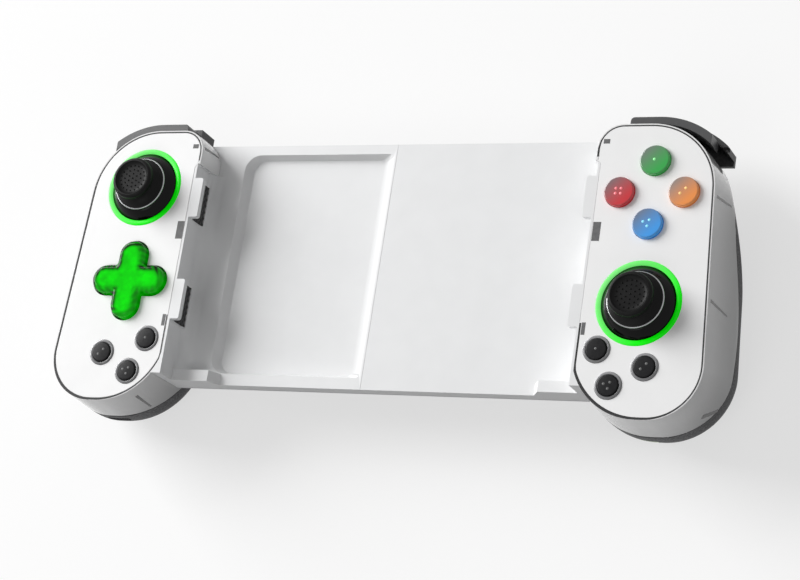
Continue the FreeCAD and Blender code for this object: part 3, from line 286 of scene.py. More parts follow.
finishes = {
    "white_shell": {"colour": (0.85, 0.855, 0.86), "spread": 0.015, "rough": 0.42, "grain": 0.04},
    "faceplate_white": {"colour": (0.96, 0.96, 0.96), "spread": 0.012, "rough": 0.30, "coat": 0.3,
                        "grain": 0.02},
    "bridge_back": {"colour": (0.80, 0.80, 0.81), "spread": 0.03, "rough": 0.55, "grain": 0.10},
    # smoky housings: a painted shade darkens them down the sides, and a painted highlight makes them pale
    # towards the shoulder keys
    "smoke_shell": {"colour": (0.85, 0.85, 0.855), "spread": 0.15, "cloudScale": 26.0, "rough": 0.10,
                    "clear": 0.12, "coat": 0.6, "grain": 0.01, "deep": (0.40, 0.40, 0.405),
                    "pale": (0.97, 0.97, 0.97)},
    "rear_shell": {"colour": (0.10, 0.10, 0.104), "spread": 0.75, "cloudScale": 1400.0, "rough": 0.62,
                   "grain": 1.0, "grainScale": 1400.0},
    "phone_pad": {"colour": (0.10, 0.10, 0.102), "paint": (0.006, 0.006, 0.006), "spread": 0.3,
                  "rough": 0.6, "grain": 0.2},
    # light ring: its paint colour is painted light, deeper towards one side
    "glow_green": {"colour": (0.22, 0.85, 0.22), "paint": (0.0, 0.84, 0.0), "spread": 0.04,
                   "rough": 0.25, "shine": 0.2, "glow": 0.30},
    "dome_black": {"colour": (0.002, 0.002, 0.002), "spread": 0.2, "rough": 0.09, "shine": 0.12,
                   "grain": 0.01},
    "trim_silver": {"colour": (0.30, 0.30, 0.31), "spread": 0.15, "rough": 0.22, "metal": 1.0, "grain": 0.03},
    "cap_rubber": {"colour": (0.008, 0.008, 0.008), "spread": 0.25, "rough": 0.40, "grain": 0.2,
                   "shine": 0.10},
    # direction pad: the paint colour is painted shade and reflection on the rounded edge, and the emission
    # painted light
    "pad_green": {"colour": (0.0, 0.62, 0.0), "paint": (0.0, 0.012, 0.0), "spread": 0.25, "cloudScale": 260.0,
                  "rough": 0.06, "coat": 0.05, "shine": 0.10, "glow": 0.28, "grain": 0.01},
    # face buttons: the paint colour is painted light through the clear cap, strongest on one side and down the
    # side wall; the emission is painted light too
    "button_green": {"colour": (0.14, 0.18, 0.15), "paint": (0.02, 0.40, 0.06), "spread": 0.10,
                     "rough": 0.08, "coat": 0.5, "shine": 0.3, "glow": 0.10, "grain": 0.01},
    "button_orange": {"colour": (0.27, 0.22, 0.20), "paint": (0.90, 0.30, 0.06), "spread": 0.10,
                      "rough": 0.08, "coat": 0.5, "shine": 0.3, "glow": 0.10, "grain": 0.01},
    "button_blue": {"colour": (0.14, 0.18, 0.26), "paint": (0.04, 0.34, 0.86), "spread": 0.10,
                    "rough": 0.08, "coat": 0.5, "shine": 0.3, "glow": 0.10, "grain": 0.01},
    "button_red": {"colour": (0.20, 0.13, 0.14), "paint": (0.62, 0.02, 0.03), "spread": 0.10,
                   "rough": 0.08, "coat": 0.5, "shine": 0.3, "glow": 0.10, "grain": 0.01},
    "key_black": {"colour": (0.010, 0.010, 0.011), "spread": 0.3, "cloudScale": 900.0, "rough": 0.34,
                  "grain": 0.25, "shine": 0.16},
    # key collars: the paint colour is painted light on the side towards the upper left
    "collar_grey": {"colour": (0.13, 0.13, 0.135), "spread": 0.12, "rough": 0.12, "coat": 0.8, "grain": 0.01,
                    "paint": (0.30, 0.30, 0.31)},
    "shoulder_grey": {"colour": (0.048, 0.048, 0.050), "spread": 0.12, "rough": 0.34, "grain": 0.06},
    "trigger_black": {"colour": (0.018, 0.018, 0.019), "spread": 0.5, "cloudScale": 1400.0, "rough": 0.5,
                      "grain": 1.0, "grainScale": 1400.0},
    "steel": {"colour": (0.55, 0.55, 0.56), "spread": 0.1, "rough": 0.28, "metal": 1.0, "grain": 0.05},
    "spring_steel": {"colour": (0.42, 0.42, 0.43), "spread": 0.1, "rough": 0.3, "metal": 1.0, "grain": 0.05},
    "board_green": {"colour": (0.02, 0.14, 0.06), "spread": 0.3, "cloudScale": 400.0, "rough": 0.35,
                    "coat": 0.3},
    "silicone": {"colour": (0.45, 0.46, 0.46), "spread": 0.05, "rough": 0.6, "clear": 0.1},
    "inner_nylon": {"colour": (0.10, 0.10, 0.11), "spread": 0.15, "rough": 0.5, "grain": 0.2},
    "ribbon_amber": {"colour": (0.55, 0.24, 0.03), "spread": 0.15, "rough": 0.35, "coat": 0.3},
    "battery_foil": {"colour": (0.30, 0.31, 0.35), "spread": 0.1, "rough": 0.35, "metal": 0.6, "grain": 0.15},
    "window_green": {"colour": (0.22, 0.42, 0.03), "spread": 0.3, "cloudScale": 300.0, "rough": 0.2,
                     "coat": 0.5, "glow": 0.15},
    "seam_dark": {"colour": (0.012, 0.012, 0.013), "spread": 0.2, "rough": 0.5, "shine": 0.3},
    "slot_grey": {"colour": (0.10, 0.10, 0.102), "spread": 0.3, "cloudScale": 600.0, "rough": 0.5},
    "rib_smoke": {"colour": (0.05, 0.05, 0.052), "spread": 0.4, "cloudScale": 500.0, "rough": 0.15,
                  "coat": 0.6},
    "mark_grey": {"colour": (0.10, 0.10, 0.10), "spread": 0.2, "rough": 0.4},
}
finish = {name: moulded(name, look) for name, look in finishes.items()}
print("materials made:", len(finish))


# mouldings that keep the shape of their node, with merged points, smooth curves and softened edges

mouldings = {
    "edge": {"tray": 0.35, "faceplate": 0.30, "housing": 0.12, "rear_shell": 0.15, "tray_back": 0.30,
             "bumper": 0.55, "trigger": 0.45},
    "segments": 3,
    "angle": 35.0,
    "mergeWithin": 1e-6,         # metres between points that become one
    "flatWithin": 0.5,           # degrees between faces that become one
    "flatWeight": 90,
}


def softenedCopy(node, edge, look):
    mesh = frame["nodes"][node].data.copy()
    mesh.materials.clear()
    work = bmesh.new()
    work.from_mesh(mesh)
    bmesh.ops.remove_doubles(work, verts=work.verts, dist=mouldings["mergeWithin"])
    flatWithin = math.radians(mouldings["flatWithin"])
    bmesh.ops.dissolve_limit(work, angle_limit=flatWithin, verts=work.verts, edges=work.edges)
    work.to_mesh(mesh)
    work.free()
    piece = addPiece(node + "_moulding", mesh, finish[look], node, stands=True)
    bevel = piece.modifiers.new("edges", "BEVEL")
    bevel.width = edge * mm
    bevel.segments = mouldings["segments"]
    bevel.limit_method = "ANGLE"
    bevel.angle_limit = math.radians(mouldings["angle"])
    flat = piece.modifiers.new("flat_faces", "WEIGHTED_NORMAL")
    flat.keep_sharp = True
    flat.weight = mouldings["flatWeight"]


for side, sign in sides:
    for part, edge in mouldings["edge"].items():
        look = "faceplate_white" if part == "faceplate" else slotOfNode[side + "_" + part]
        softenedCopy(side + "_" + part, edge, look)
print("mouldings softened")


# sticks: dome, trim ring, cap with its dots, and the light ring

stick = {
    "around": 128, "dotAround": 12, "ringAround": 160,       # steps round the axis
    "domeWall": 1.3, "domeLow": 2.0, "domeShoulderIn": 0.35, "domeShoulderTurn": 0.8,
    "trimOut": 9.7, "trimIn": 8.0, "trimHigh": 0.6,
    "capRim": 7.6, "capEdge": 1.1, "dishEdge": 0.15, "dishDeep": 1.0, "dishPower": 10, "rimHigh": 2.6,
    "rimFoot": 0.4, "rimIn": 0.2, "neck": 6.2, "neckDrop": 0.5, "flarePower": 2.6,
    "skirt": 9.3, "skirtLow": 0.62, "skirtThick": 0.25, "skirtIn": 0.05,
    "dotRadius": 0.30, "dotHigh": 0.34, "dotSunk": 0.1,
    "dotRings": ((0.0, 1), (1.7, 6), (3.2, 12), (4.7, 18)),  # radius of each ring and how many dots
    "ringProud": 0.2, "ringThick": 2.2, "ringOut": 14.5, "ringRound": 0.35, "domeGap": 0.35,
    "ringLipDeep": 0.1, "ringLipWide": 0.15,
    "glowDirection": -35.0,      # degrees in the faceplate's plane, where the ring's painted light is deepest green
    "glowMiddle": 0.62, "glowLean": 0.62,
}


# A dot: a flattened half ball that is sunk a little into what it stands on.
def dotSection(radius, high, sunk, floor, steps):
    across = np.radians(np.linspace(0, 90, steps))
    return np.stack([radius * np.cos(across) + dotAxis, floor - sunk + (high + sunk) * np.sin(across)], axis=-1)


def stickPieces(side):
    pivot = np.array(jointByName[side + "_stick_up_down"]["pos_m"]) / mm
    centre = pivot[:2] * mm
    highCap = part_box(side + "_stick_cap")[1][2] / mm
    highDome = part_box(side + "_stick_dome")[1][2] / mm
    domeRadius = (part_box(side + "_stick_dome")[1][0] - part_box(side + "_stick_dome")[0][0]) / mm / 2
    ball = math.hypot(domeRadius, stick["domeLow"])
    high = highDome - pivot[2]
    steep = math.degrees(math.asin(high / ball))
    inner = ball - stick["domeWall"]
    innerSteep = math.degrees(math.asin((high - stick["domeWall"]) / inner))
    low = math.degrees(math.asin(stick["domeLow"] / ball))
    innerLow = math.degrees(math.asin(stick["domeLow"] / inner))
    # dome: outer ball, shoulder, inner ball
    section = sectionOf(
        (nearAxis, highDome), (ball * math.cos(math.radians(steep)) - stick["domeShoulderIn"], highDome),
        arcPoints((0, pivot[2]), ball, steep - stick["domeShoulderTurn"], low, 24),
        arcPoints((0, pivot[2]), inner, innerLow, innerSteep, 16), (nearAxis, highDome - stick["domeWall"]),
    )
    name = side + "_stick_dome_shape"
    mesh = gridMesh(name, latheGrid(section * mm, centre, stick["around"]), poles=(True, True))
    addPiece(name, mesh, finish["dome_black"], side + "_stick_dome", stands=True)
    # trim: a band whose outer and inner edges are rounded over
    top = highDome + stick["trimHigh"]
    edge = stick["trimHigh"] * 0.5
    section = sectionOf(
        (stick["trimIn"], highDome), arcPoints((stick["trimIn"] + edge, top - edge), edge, 180, 90, 6),
        arcPoints((stick["trimOut"] - edge, top - edge), edge, 90, 0, 6), (stick["trimOut"], highDome),
    )
    name = side + "_stick_trim_shape"
    mesh = gridMesh(name, latheGrid(section * mm, centre, stick["around"]), closeColumn=True)
    addPiece(name, mesh, finish["trim_silver"], side + "_stick_trim", stands=True)
    # cap: dish, rim, neck and flared skirt
    top = highCap
    edge = stick["capEdge"]
    dishRadius = stick["capRim"] - edge - stick["dishEdge"]
    share = np.linspace(0.002, 1, 28)
    bowl = top - stick["dishDeep"] * (1 - share ** stick["dishPower"])
    dish = np.stack([dishRadius * share, bowl], axis=-1)
    skirtZ = highDome + stick["skirtLow"]
    rimZ = top - stick["rimHigh"]
    fall = np.linspace(0, 1, 14)
    flare = np.stack([
        stick["neck"] + (stick["skirt"] - stick["neck"]) * fall ** stick["flarePower"],
        (rimZ - stick["neckDrop"]) + (skirtZ + stick["skirtThick"] - rimZ + stick["neckDrop"]) * fall,
    ], axis=-1)
    section = sectionOf(
        dish, arcPoints((stick["capRim"] - edge, top - edge), edge, 88, 0, 8),
        (stick["capRim"], rimZ + stick["rimFoot"]), (stick["capRim"] - stick["rimIn"], rimZ), flare,
        (stick["skirt"] - stick["skirtIn"], skirtZ), (nearAxis, skirtZ),
    )
    name = side + "_stick_cap_shape"
    mesh = gridMesh(name, latheGrid(section * mm, centre, stick["around"]), poles=(True, True))
    addPiece(name, mesh, finish["cap_rubber"], side + "_stick_cap", stands=True)
    # dots on the dish, in rings
    for ring, (radius, count) in enumerate(stick["dotRings"]):
        for number in range(count):
            turn = 2 * math.pi * (number + 0.5 * ring) / count
            spot = centre + radius * mm * np.array([math.cos(turn), math.sin(turn)])
            floor = top - stick["dishDeep"] * (1 - (radius / dishRadius) ** stick["dishPower"])
            section = dotSection(stick["dotRadius"], stick["dotHigh"], stick["dotSunk"], floor, 5)
            mesh = gridMesh("dot", latheGrid(section * mm, spot, stick["dotAround"]), poles=(True, True))
            addPiece(f"{side}_stick_cap_dot_{ring}_{number}", mesh, finish["cap_rubber"], side + "_stick_cap")
    # light ring: outside straight, inside following the dome
    top = faceZ / mm + stick["ringProud"]
    low = faceZ / mm - stick["ringThick"]
    gapBall = ball + stick["domeGap"]
    topIn = math.sqrt(gapBall ** 2 - (top - pivot[2]) ** 2)
    lowIn = math.sqrt(gapBall ** 2 - (low - pivot[2]) ** 2)
    edge = stick["ringRound"]
    section = sectionOf(
        (lowIn, low), (topIn, top - stick["ringLipDeep"]), (topIn + stick["ringLipWide"], top),
        arcPoints((stick["ringOut"] - edge, top - edge), edge, 90, 0, 6), (stick["ringOut"], low),
    )
    name = side + "_glow_ring_shape"
    mesh = gridMesh(name, latheGrid(section * mm, centre, stick["ringAround"]), closeColumn=True)
    ring = addPiece(name, mesh, finish["glow_green"], side + "_glow_ring", stands=True)
    # painted light: the ring's green is painted deeper towards one side
    direction = math.radians(stick["glowDirection"])
    paintAttribute(ring, lambda p: stick["glowMiddle"] + stick["glowLean"] * (
        (p[:, 0] - centre[0]) * math.cos(direction) + (p[:, 1] - centre[1]) * math.sin(direction)
    ) / (stick["ringOut"] * mm))


for side, sign in sides:
    stickPieces(side)
print("sticks made")


# direction pad: a rounded cross whose edge rounds over and carries a painted shade and reflection, darker
# towards one side

pad = {
    "reach": 14.15, "half": 5.08, "inner": 1.6, "fillet": 1.5, "steps": 300,
    "flatRows": 8, "middleGap": 0.15, "wallDeep": 1.0, "lowDeep": 2.9,
    "searchFrom": 0.3, "searchPast": 1.0, "halvings": 40,
    "edgeShadeTurn": 135.0,           # the painted shade on the rounded edge is darkest on this side, in degrees
    "edgeShadeWide": 2.6, "edgeShadeGain": 2.6, "edgeShadeEven": 0.68, "edgeShadeLean": 0.45, "slopeStep": 0.05,
    "reflectStreakEven": 0.65, "reflectStreakHigh": 0.75, "reflectStreakTurns": 9.0, "reflectStreakOut": 3.1,
}


# Distance to the cross of two round-ended bars: the smaller of the two bars' distances, less a
# rounding of the inner corners where the two are nearly equal.
def crossDistance(x, y):
    run = pad["reach"] - pad["half"]
    first = np.hypot(np.maximum(np.abs(x) - run, 0), y) - pad["half"]
    second = np.hypot(x, np.maximum(np.abs(y) - run, 0)) - pad["half"]
    mix = np.maximum(pad["inner"] - np.abs(first - second), 0) / pad["inner"]
    return np.minimum(first, second) - mix ** 2 * pad["inner"] / 4


# Outline of the cross moved in by an inset: along each ray from the middle, halving finds where
# the distance equals the inset.
def crossOutline(angle, inset):
    low = np.full_like(angle, pad["searchFrom"])
    high = np.full_like(angle, pad["reach"] + pad["searchPast"])
    for step in range(pad["halvings"]):
        middle = (low + high) / 2
        inside = crossDistance(middle * np.cos(angle), middle * np.sin(angle)) < -inset
        low = np.where(inside, middle, low)
        high = np.where(inside, high, middle)
    return low


def directionPad():
    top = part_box("dpad")[1][2] / mm
    pivot = np.array(jointByName["dpad_up_down"]["pos_m"]) / mm
    angle = np.linspace(0, 2 * np.pi, pad["steps"], endpoint=False)
    turn = np.radians(np.linspace(0, 90, 9))
    insets = np.concatenate([
        np.linspace(pad["half"] - pad["middleGap"], pad["fillet"], pad["flatRows"])[:-1],
        pad["fillet"] * (1 - np.sin(turn)), [0.0, 0.0],
    ])
    heights = np.concatenate([
        np.full(pad["flatRows"] - 1, top), top - pad["fillet"] * (1 - np.cos(turn)),
        [faceZ / mm - pad["wallDeep"], faceZ / mm - pad["lowDeep"]],
    ])
    rows = []
    for inset, height in zip(insets, heights):
        radius = crossOutline(angle, inset)
        rows.append(np.stack([
            pivot[0] + radius * np.cos(angle), pivot[1] + radius * np.sin(angle),
            np.full_like(angle, height),
        ], axis=-1))
    mesh = gridMesh("dpad_shape", np.array(rows) * mm, poles=(True, True))
    piece = addPiece("dpad_shape", mesh, finish["pad_green"], "dpad", stands=True, sharpDegrees=60)
    side = math.radians(pad["edgeShadeTurn"])

    # painted shade and reflection: a dark band on the rounded edge, stronger towards one side and broken into
    # streaks
    def paintedEdgeShade(p):
        x = p[:, 0] / mm - pivot[0]
        y = p[:, 1] / mm - pivot[1]
        here = crossDistance(x, y)
        slopeX = crossDistance(x + pad["slopeStep"], y) - here
        slopeY = crossDistance(x, y + pad["slopeStep"]) - here
        facing = (slopeX * math.cos(side) + slopeY * math.sin(side)) / pad["slopeStep"]
        band = np.clip(1.0 + here / pad["edgeShadeWide"], 0, 1)
        reflectStreaks = 0.5 + 0.5 * np.sin(pad["reflectStreakTurns"] * np.arctan2(y, x) + pad["reflectStreakOut"] * np.hypot(x, y))
        lean = pad["edgeShadeEven"] + pad["edgeShadeLean"] * facing
        return np.clip(band * pad["edgeShadeGain"], 0, 1) * lean * (pad["reflectStreakEven"] + pad["reflectStreakHigh"] * reflectStreaks)

    paintAttribute(piece, paintedEdgeShade)


directionPad()
print("direction pad made")


# face buttons and small keys: turned caps in turned collars

caps = {
    "buttonRound": 0.55, "buttonCrown": 0.18, "buttonSide": 3.2, "buttonFlange": 0.8,
    "deepest": -45.0,            # side of a face button where its painted light is strongest, in degrees
    "colourEven": 0.58, "colourLean": 0.62, "colourUnder": 0.35, "underFrom": 0.5, "underDeep": 0.3,
    "keyRound": 0.45, "keyCrown": 0.12, "keySide": 3.0, "keyFlange": 0.7, "keyDotsDrop": 0.03,
    "collarRound": 0.3, "collarGap": 0.12, "collarWide": 1.0, "collarDeep": 2.0,
    "dots": {"button_north": 1, "button_east": 2, "button_south": 3, "button_west": 4},
    "dotRadius": 0.55, "dotRing": 1.25, "dotHigh": 0.12, "dotSunk": 0.1,
}


# A cap: crowned top, rounded edge, straight side.
def capSection(radius, top, low, edge, crown):
    share = np.linspace(0.003, 1, 12)
    crownPart = np.stack([(radius - edge) * share, top - crown * share ** 2], axis=-1)
    return sectionOf(
        crownPart, arcPoints((radius - edge, top - crown - edge), edge, 84, 0, 8),
        (radius, low), (nearAxis, low),
    )


# Counting dots on a cap: one in the middle, or two to four in a ring.
def markDots(name, node, centre, top, count, look):
    for number in range(count):
        ring = 0 if count == 1 else caps["dotRing"]
        turn = 2 * math.pi * number / count + math.pi / 4
        spot = (centre[0] + ring * mm * math.cos(turn), centre[1] + ring * mm * math.sin(turn))
        section = dotSection(caps["dotRadius"], caps["dotHigh"], caps["dotSunk"], top, 4)
        mesh = gridMesh(name, latheGrid(section * mm, spot, 16), poles=(True, True))
        addPiece(f"{name}_dot_{number}", mesh, finish[look], node)


def faceButton(node):
    low, high = (np.array(corner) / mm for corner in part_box(node))
    centre = (low + high)[:2] / 2 * mm
    radius = (high[0] - low[0]) / 2 - caps["buttonFlange"]
    lowEnd = high[2] - caps["buttonSide"]
    section = capSection(radius, high[2], lowEnd, caps["buttonRound"], caps["buttonCrown"])
    mesh = gridMesh(node + "_shape", latheGrid(section * mm, centre, 96), poles=(True, True))
    piece = addPiece(node + "_shape", mesh, finish[slotOfNode[node]], node, stands=True)
    turn = math.radians(caps["deepest"])

    # painted light: more of the cap's paint colour towards one side and down the side wall
    def paintedCapLight(p):
        x = (p[:, 0] - centre[0]) / mm / radius
        y = (p[:, 1] - centre[1]) / mm / radius
        lean = x * math.cos(turn) + y * math.sin(turn)
        under = np.clip((high[2] - p[:, 2] / mm - caps["underFrom"]) / caps["underDeep"], 0, 1)
        return caps["colourEven"] + caps["colourLean"] * lean + caps["colourUnder"] * under

    paintAttribute(piece, paintedCapLight)
    markDots(node + "_mark", node, centre, high[2], caps["dots"][node], node.replace("button", "mark"))


# the counting dots' emission is painted light
for place, colour in (("north", (0.30, 0.90, 0.35)), ("east", (1.0, 0.62, 0.22)),
                      ("south", (0.25, 0.75, 1.0)), ("west", (0.98, 0.22, 0.25))):
    finish["mark_" + place] = moulded("mark_" + place, {"colour": colour, "rough": 0.3, "glow": 0.25})
    faceButton("button_" + place)


def smallKey(side, key, number):
    node = f"{side}_key_{key}"
    low, high = (np.array(corner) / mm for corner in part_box(node))
    centre = (low + high)[:2] / 2 * mm
    radius = (high[0] - low[0]) / 2 - caps["keyFlange"]
    section = capSection(radius, high[2], high[2] - caps["keySide"], caps["keyRound"], caps["keyCrown"])
    mesh = gridMesh(node + "_shape", latheGrid(section * mm, centre, 72), poles=(True, True))
    addPiece(node + "_shape", mesh, finish["key_black"], node, stands=True)
    markDots(node + "_mark", node, centre, high[2] - caps["keyDotsDrop"], number, "mark_grey")
    return centre, radius


def keyCollars(side, places):
    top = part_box(side + "_key_collars")[1][2] / mm
    low = faceZ / mm - caps["collarDeep"]
    for number, (centre, radius) in enumerate(places):
        inner = radius + caps["collarGap"]
        outer = inner + caps["collarWide"]
        edge = caps["collarRound"]
        section = sectionOf(
            (inner, low), arcPoints((inner + edge, top - edge), edge, 180, 90, 5),
            arcPoints((outer - edge, top - edge), edge, 90, 0, 5), (outer, low),
        )
        name = f"{side}_key_collar_{number}"
        mesh = gridMesh(name, latheGrid(section * mm, centre, 96), closeColumn=True)
        collar = addPiece(name, mesh, finish["collar_grey"], side + "_key_collars", stands=True)
        # painted light and shade: the collar is lighter towards the upper left, darker towards the lower right
        paintAttribute(collar, lambda p: 0.5 - 0.5 * (
            (p[:, 0] - centre[0]) - (p[:, 1] - centre[1])) / (outer * mm))


for side, sign in sides:
    places = [smallKey(side, key, number + 1) for number, key in enumerate(("inner", "outer", "lower"))]
    keyCollars(side, places)
print("buttons and keys made")


# dark lines: round each faceplate, and between housing and rear shell

lines = {
    "edgeWide": 0.40, "edgeSwell": 0.55, "edgeTurn": -130.0, "edgeGap": 0.06, "edgeProud": 0.03,
    "seamWide": 0.45, "seamSwell": 0.9, "seamFrom": 9.0, "seamTo": 32.0, "seamBelow": 0.05, "seamProud": 0.02,
    "sunk": 0.3, "startTurn": 119.0, "sweep": 256.0, "steps": 150, "halvings": 12,
}


# How far a row of directions leans to the lower left, from 0 to 1.
def leaning(outward):
    turn = np.arctan2(outward[:, 1], outward[:, 0]) - math.radians(lines["edgeTurn"])
    return np.clip(np.cos(turn), 0, 1) ** 2


def darkLines(side, sign):
    low, high = (np.array(corner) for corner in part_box(side + "_faceplate"))
    centre = (low + high) / 2
    turn = np.radians(lines["startTurn"] - np.linspace(0, lines["sweep"], lines["steps"]))
    if sign < 0:
        turn = np.pi - turn
    plate = surfaceTree(side + "_faceplate")
    hits = castLevel(plate, centre, turn, np.full(len(turn), faceZ - mm))
    places = np.array([hit[0] for hit in hits])
    outward = np.array([hit[1] for hit in hits])
    width = lines["edgeWide"] + lines["edgeSwell"] * leaning(outward)
    places += outward * (lines["edgeGap"] + width[:, None] / 2) * mm
    places[:, 2] = faceZ
    normals = np.tile(upwards, (len(places), 1))
    name = side + "_plate_line"
    mesh = stripMesh(name, places, normals, width * mm, lines["edgeProud"] * mm, lines["sunk"] * mm)
    addPiece(name, mesh, finish["seam_dark"], side + "_housing")
    # seam: halving finds the height where the rays change from housing to rear shell
    front = surfaceTree(side + "_housing")
    rear = surfaceTree(side + "_rear_shell")
    highest = faceZ - lines["seamFrom"] * mm
    top = np.full(len(turn), highest)
    bottom = np.full(len(turn), faceZ - lines["seamTo"] * mm)
    for step in range(lines["halvings"]):
        middle = (top + bottom) / 2
        ahead = castLevel(front, centre, turn, middle)
        behind = castLevel(rear, centre, turn, middle)
        for i in range(len(turn)):
            reachFront = -1 if ahead[i][0] is None else (ahead[i][0] - Vector(centre)).length
            reachRear = -1 if behind[i][0] is None else (behind[i][0] - Vector(centre)).length
            if reachFront > reachRear:
                top[i] = middle[i]
            else:
                bottom[i] = middle[i]
    hits = castLevel(rear, centre, turn, bottom - lines["seamBelow"] * mm)
    kept = [i for i, hit in enumerate(hits) if hit[0] is not None and abs(bottom[i] - highest) > mm]
    places = np.array([hits[i][0] for i in kept])
    normals = np.array([hits[i][1] for i in kept])
    width = lines["seamWide"] + lines["seamSwell"] * leaning(normals)
    name = side + "_seam_line"
    mesh = stripMesh(name, places, normals, width * mm, lines["seamProud"] * mm, lines["sunk"] * mm)
    addPiece(name, mesh, finish["seam_dark"], side + "_rear_shell")


for side, sign in sides:
    darkLines(side, sign)
print("seam lines made")


# ribs that show through the housings, and dark slots in the faceplates

# Each rib: side, turn at its start and end in degrees round the plate's middle, depths, width.
ribs = (
    ("right", 52.5, 51.5, 2.0, 14.0, 1.1), ("right", -24.4, -24.4, 2.0, 15.5, 1.2),
    ("right", -66.8, -60.6, 14.0, 20.0, 1.8), ("left", 52.5, 51.5, 2.0, 14.0, 1.1),
    ("left", -24.4, -24.4, 2.0, 15.5, 1.2), ("left", -103.2, -103.2, 5.0, 16.0, 1.2),
    ("left", 116.9, 116.9, 1.4, 12.0, 1.2),
)
# Each slot: name, nearer and further edge from the middle, lower and upper end.
slots = (
    ("upper", 76.3, 79.0, 7.8, 14.4), ("lower", 76.9, 78.2, -24.4, -20.2),
    ("corner", 76.2, 78.4, 42.0, 43.6),
)
marks = {
    "ribSteps": 12, "ribTaper": 0.6, "ribProud": 0.02, "ribSunk": 0.3,
    "slotSteps": 5, "slotProud": 0.03, "slotSunk": 0.4,
}


def ribMark(number, side, startTurn, endTurn, startDepth, endDepth, width):
    low, high = (np.array(corner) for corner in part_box(side + "_faceplate"))
    turn = np.radians(np.linspace(startTurn, endTurn, marks["ribSteps"]))
    if side == "left":
        turn = np.pi - turn
    height = faceZ - np.linspace(startDepth, endDepth, marks["ribSteps"]) * mm
    hits = castLevel(surfaceTree(side + "_housing"), (low + high) / 2, turn, height)
    hits = [hit for hit in hits if hit[0] is not None]
    taper = np.linspace(1.0, marks["ribTaper"], len(hits)) * width * mm
    places, normals = zip(*hits)
    mesh = stripMesh("rib", places, normals, taper, marks["ribProud"] * mm, marks["ribSunk"] * mm)
    addPiece(f"{side}_housing_rib_{number}", mesh, finish["rib_smoke"], side + "_housing")


def plateSlot(side, sign, name, near, away, low, high):
    steps = marks["slotSteps"]
    y = np.linspace(low, high, steps) * mm
    places = np.stack([np.full(steps, sign * (near + away) / 2 * mm), y, np.full(steps, faceZ)], axis=-1)
    normals = np.tile(upwards, (steps, 1))
    wide = (away - near) * mm
    mesh = stripMesh("slot", places, normals, wide, marks["slotProud"] * mm, marks["slotSunk"] * mm)
    addPiece(f"{side}_plate_slot_{name}", mesh, finish["slot_grey"], side + "_faceplate")


for number, rib in enumerate(ribs):
    ribMark(number, *rib)
for side, sign in sides:
    for slot in slots:
        plateSlot(side, sign, *slot)
print("ribs and slots made")


# rubber pads in the jaws: a diamond net in relief, from two slanting waves

jawPad = {
    "length": 14.6, "mesh": 1.9, "lean": 0.8, "high": 0.28, "wireWide": 0.42, "wireEdge": 0.3,
    "across": 50, "along": 100,
}


def jawPads(side, sign):
    low, high = (np.array(corner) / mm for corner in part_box(side + "_grip_pads"))
    length = jawPad["length"]
    face, back = (low[0], high[0]) if sign > 0 else (high[0], low[0])
    for number, (start, end) in enumerate(((low[1], low[1] + length), (high[1] - length, high[1]))):
        y = np.linspace(start, end, jawPad["along"])[:, None]
        z = np.linspace(low[2], high[2], jawPad["across"])[None, :]
        one = np.abs(np.sin(np.pi * (y * jawPad["lean"] + z) / jawPad["mesh"]))
        two = np.abs(np.sin(np.pi * (y * jawPad["lean"] - z) / jawPad["mesh"]))
        net = np.clip((jawPad["wireWide"] - np.minimum(one, two)) / jawPad["wireEdge"], 0, 1)
        front = face + sign * jawPad["high"] * (1 - net)
        relief = np.stack([front, y + 0 * z, z + 0 * y], axis=-1)
        edge = np.stack([
            np.full((len(y), 2), back), np.tile(y, (1, 2)), np.tile((high[2], low[2]), (len(y), 1)),
        ], axis=-1)
        mesh = gridMesh("pad", np.concatenate([relief, edge], axis=1) * mm, poles=(True, True))
        name = f"{side}_jaw_pad_{number}"
        piece = addPiece(name, mesh, finish["phone_pad"], side + "_grip_pads", stands=True)
        paintAttribute(piece, lambda p: np.abs(p[:, 0] / mm - face) / jawPad["high"])


for side, sign in sides:
    jawPads(side, sign)
print("jaw pads made")


# camera, lights and floor

# The camera's place in metres, and the directions that its picture's right, its top and its back have.
view = {
    "place": (0.3495, -0.25135, 0.7461), "right": (0.9111, 0.1466, -0.3852),
    "up": (-0.0134, 0.9446, 0.3278), "back": (0.412, -0.2935, 0.8626),
    "lens": 110.5, "sensor": 36.0, "nearest": 0.05,
}
light = {
    "world": 0.20, "keyPlace": (-2.5, 1.2, 1.6), "keySize": 2.0, "keyPower": 136.0,
    "fillPlace": (-0.2, -0.9, 1.1), "fillSize": 0.6, "fillPower": 2.0,
    "floorColour": 0.38, "floorGlow": 0.62, "floorSize": 3.0, "floorRough": 0.9, "floorShine": 0.1,
}


def addCamera():
    data = bpy.data.cameras.new("camera")
    data.lens = view["lens"]
    data.sensor_width = view["sensor"]
    data.clip_start = view["nearest"]
    camera = bpy.data.objects.new("camera", data)
    bpy.context.collection.objects.link(camera)
    axes = Matrix((view["right"], view["up"], view["back"])).transposed()
    camera.matrix_world = Matrix.Translation(view["place"]) @ axes.to_4x4()
    bpy.context.scene.camera = camera


def addSoftLight(name, place, size, power):
    data = bpy.data.lights.new(name, "AREA")
    data.size = size
    data.energy = power
    lamp = bpy.data.objects.new(name, data)
    bpy.context.collection.objects.link(lamp)
    lamp.location = place
    direction = -lamp.location
    lamp.rotation_euler = direction.to_track_quat("-Z", "Y").to_euler()


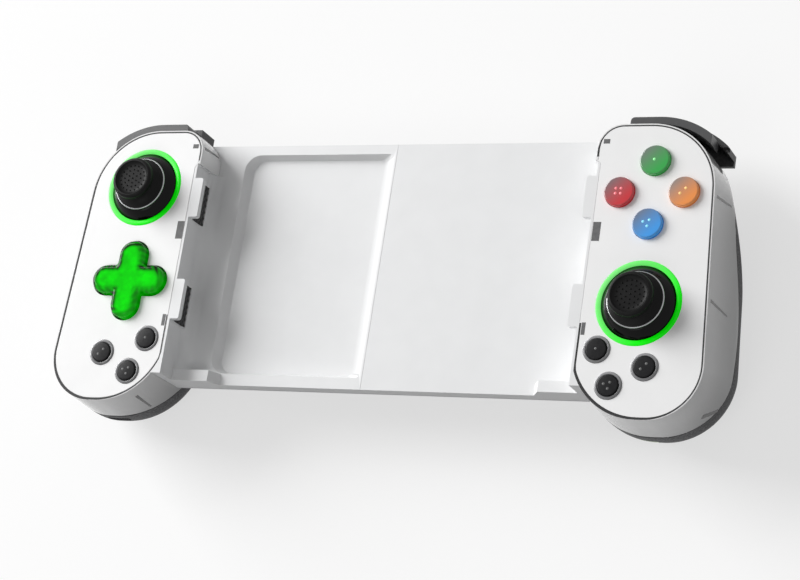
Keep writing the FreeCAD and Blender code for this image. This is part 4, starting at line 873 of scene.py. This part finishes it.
# White for the camera, for reflections and through clear pieces, and plain light for the rest.
def seenShare(tree):
    path = addNode(tree, "ShaderNodeLightPath")
    total = path.outputs["Is Camera Ray"]
    for name in ("Is Glossy Ray", "Is Transmission Ray"):
        add = addNode(tree, "ShaderNodeMath", operation="ADD", use_clamp=True)
        tree.links.new(total, add.inputs[0])
        tree.links.new(path.outputs[name], add.inputs[1])
        total = add.outputs[0]
    return total


def addWorld():
    world = bpy.data.worlds.new("studio")
    bpy.context.scene.world = world
    world.use_nodes = True
    tree = world.node_tree
    background = tree.nodes["Background"]
    background.inputs["Color"].default_value = (1, 1, 1, 1)
    level = addNode(tree, "ShaderNodeMapRange")
    level.inputs["To Min"].default_value = light["world"]
    level.inputs["To Max"].default_value = 1.0
    tree.links.new(seenShare(tree), level.inputs["Value"])
    tree.links.new(level.outputs["Result"], background.inputs["Strength"])


def addFloor():
    half = light["floorSize"] / 2
    corners = [(-half, -half, 0), (half, -half, 0), (half, half, 0), (-half, half, 0)]
    mesh = bpy.data.meshes.new("floor")
    mesh.from_pydata(corners, [], [(0, 1, 2, 3)])
    floor = bpy.data.objects.new("floor", mesh)
    bpy.context.collection.objects.link(floor)
    material, tree, shader = shaderOf("floor")
    shade = light["floorColour"]
    shader.inputs["Base Color"].default_value = (shade, shade, shade, 1)
    shader.inputs["Roughness"].default_value = light["floorRough"]
    shader.inputs["Specular IOR Level"].default_value = light["floorShine"]
    glow = addNode(tree, "ShaderNodeMath", operation="MULTIPLY")
    glow.inputs[1].default_value = light["floorGlow"]
    tree.links.new(seenShare(tree), glow.inputs[0])
    tree.links.new(glow.outputs[0], shader.inputs["Emission Strength"])
    shader.inputs["Emission Color"].default_value = (1, 1, 1, 1)
    mesh.materials.append(material)


# Every node that still shows gets its finish.
for node, thing in frame["nodes"].items():
    if not thing.hide_render:
        for place in thing.material_slots:
            place.material = finish[slotOfNode[node]]
addCamera()
addSoftLight("key", light["keyPlace"], light["keySize"], light["keyPower"])
addSoftLight("fill", light["fillPlace"], light["fillSize"], light["fillPower"])
addWorld()
addFloor()
bpy.context.scene.view_settings.view_transform = "Standard"
print("camera and light set")
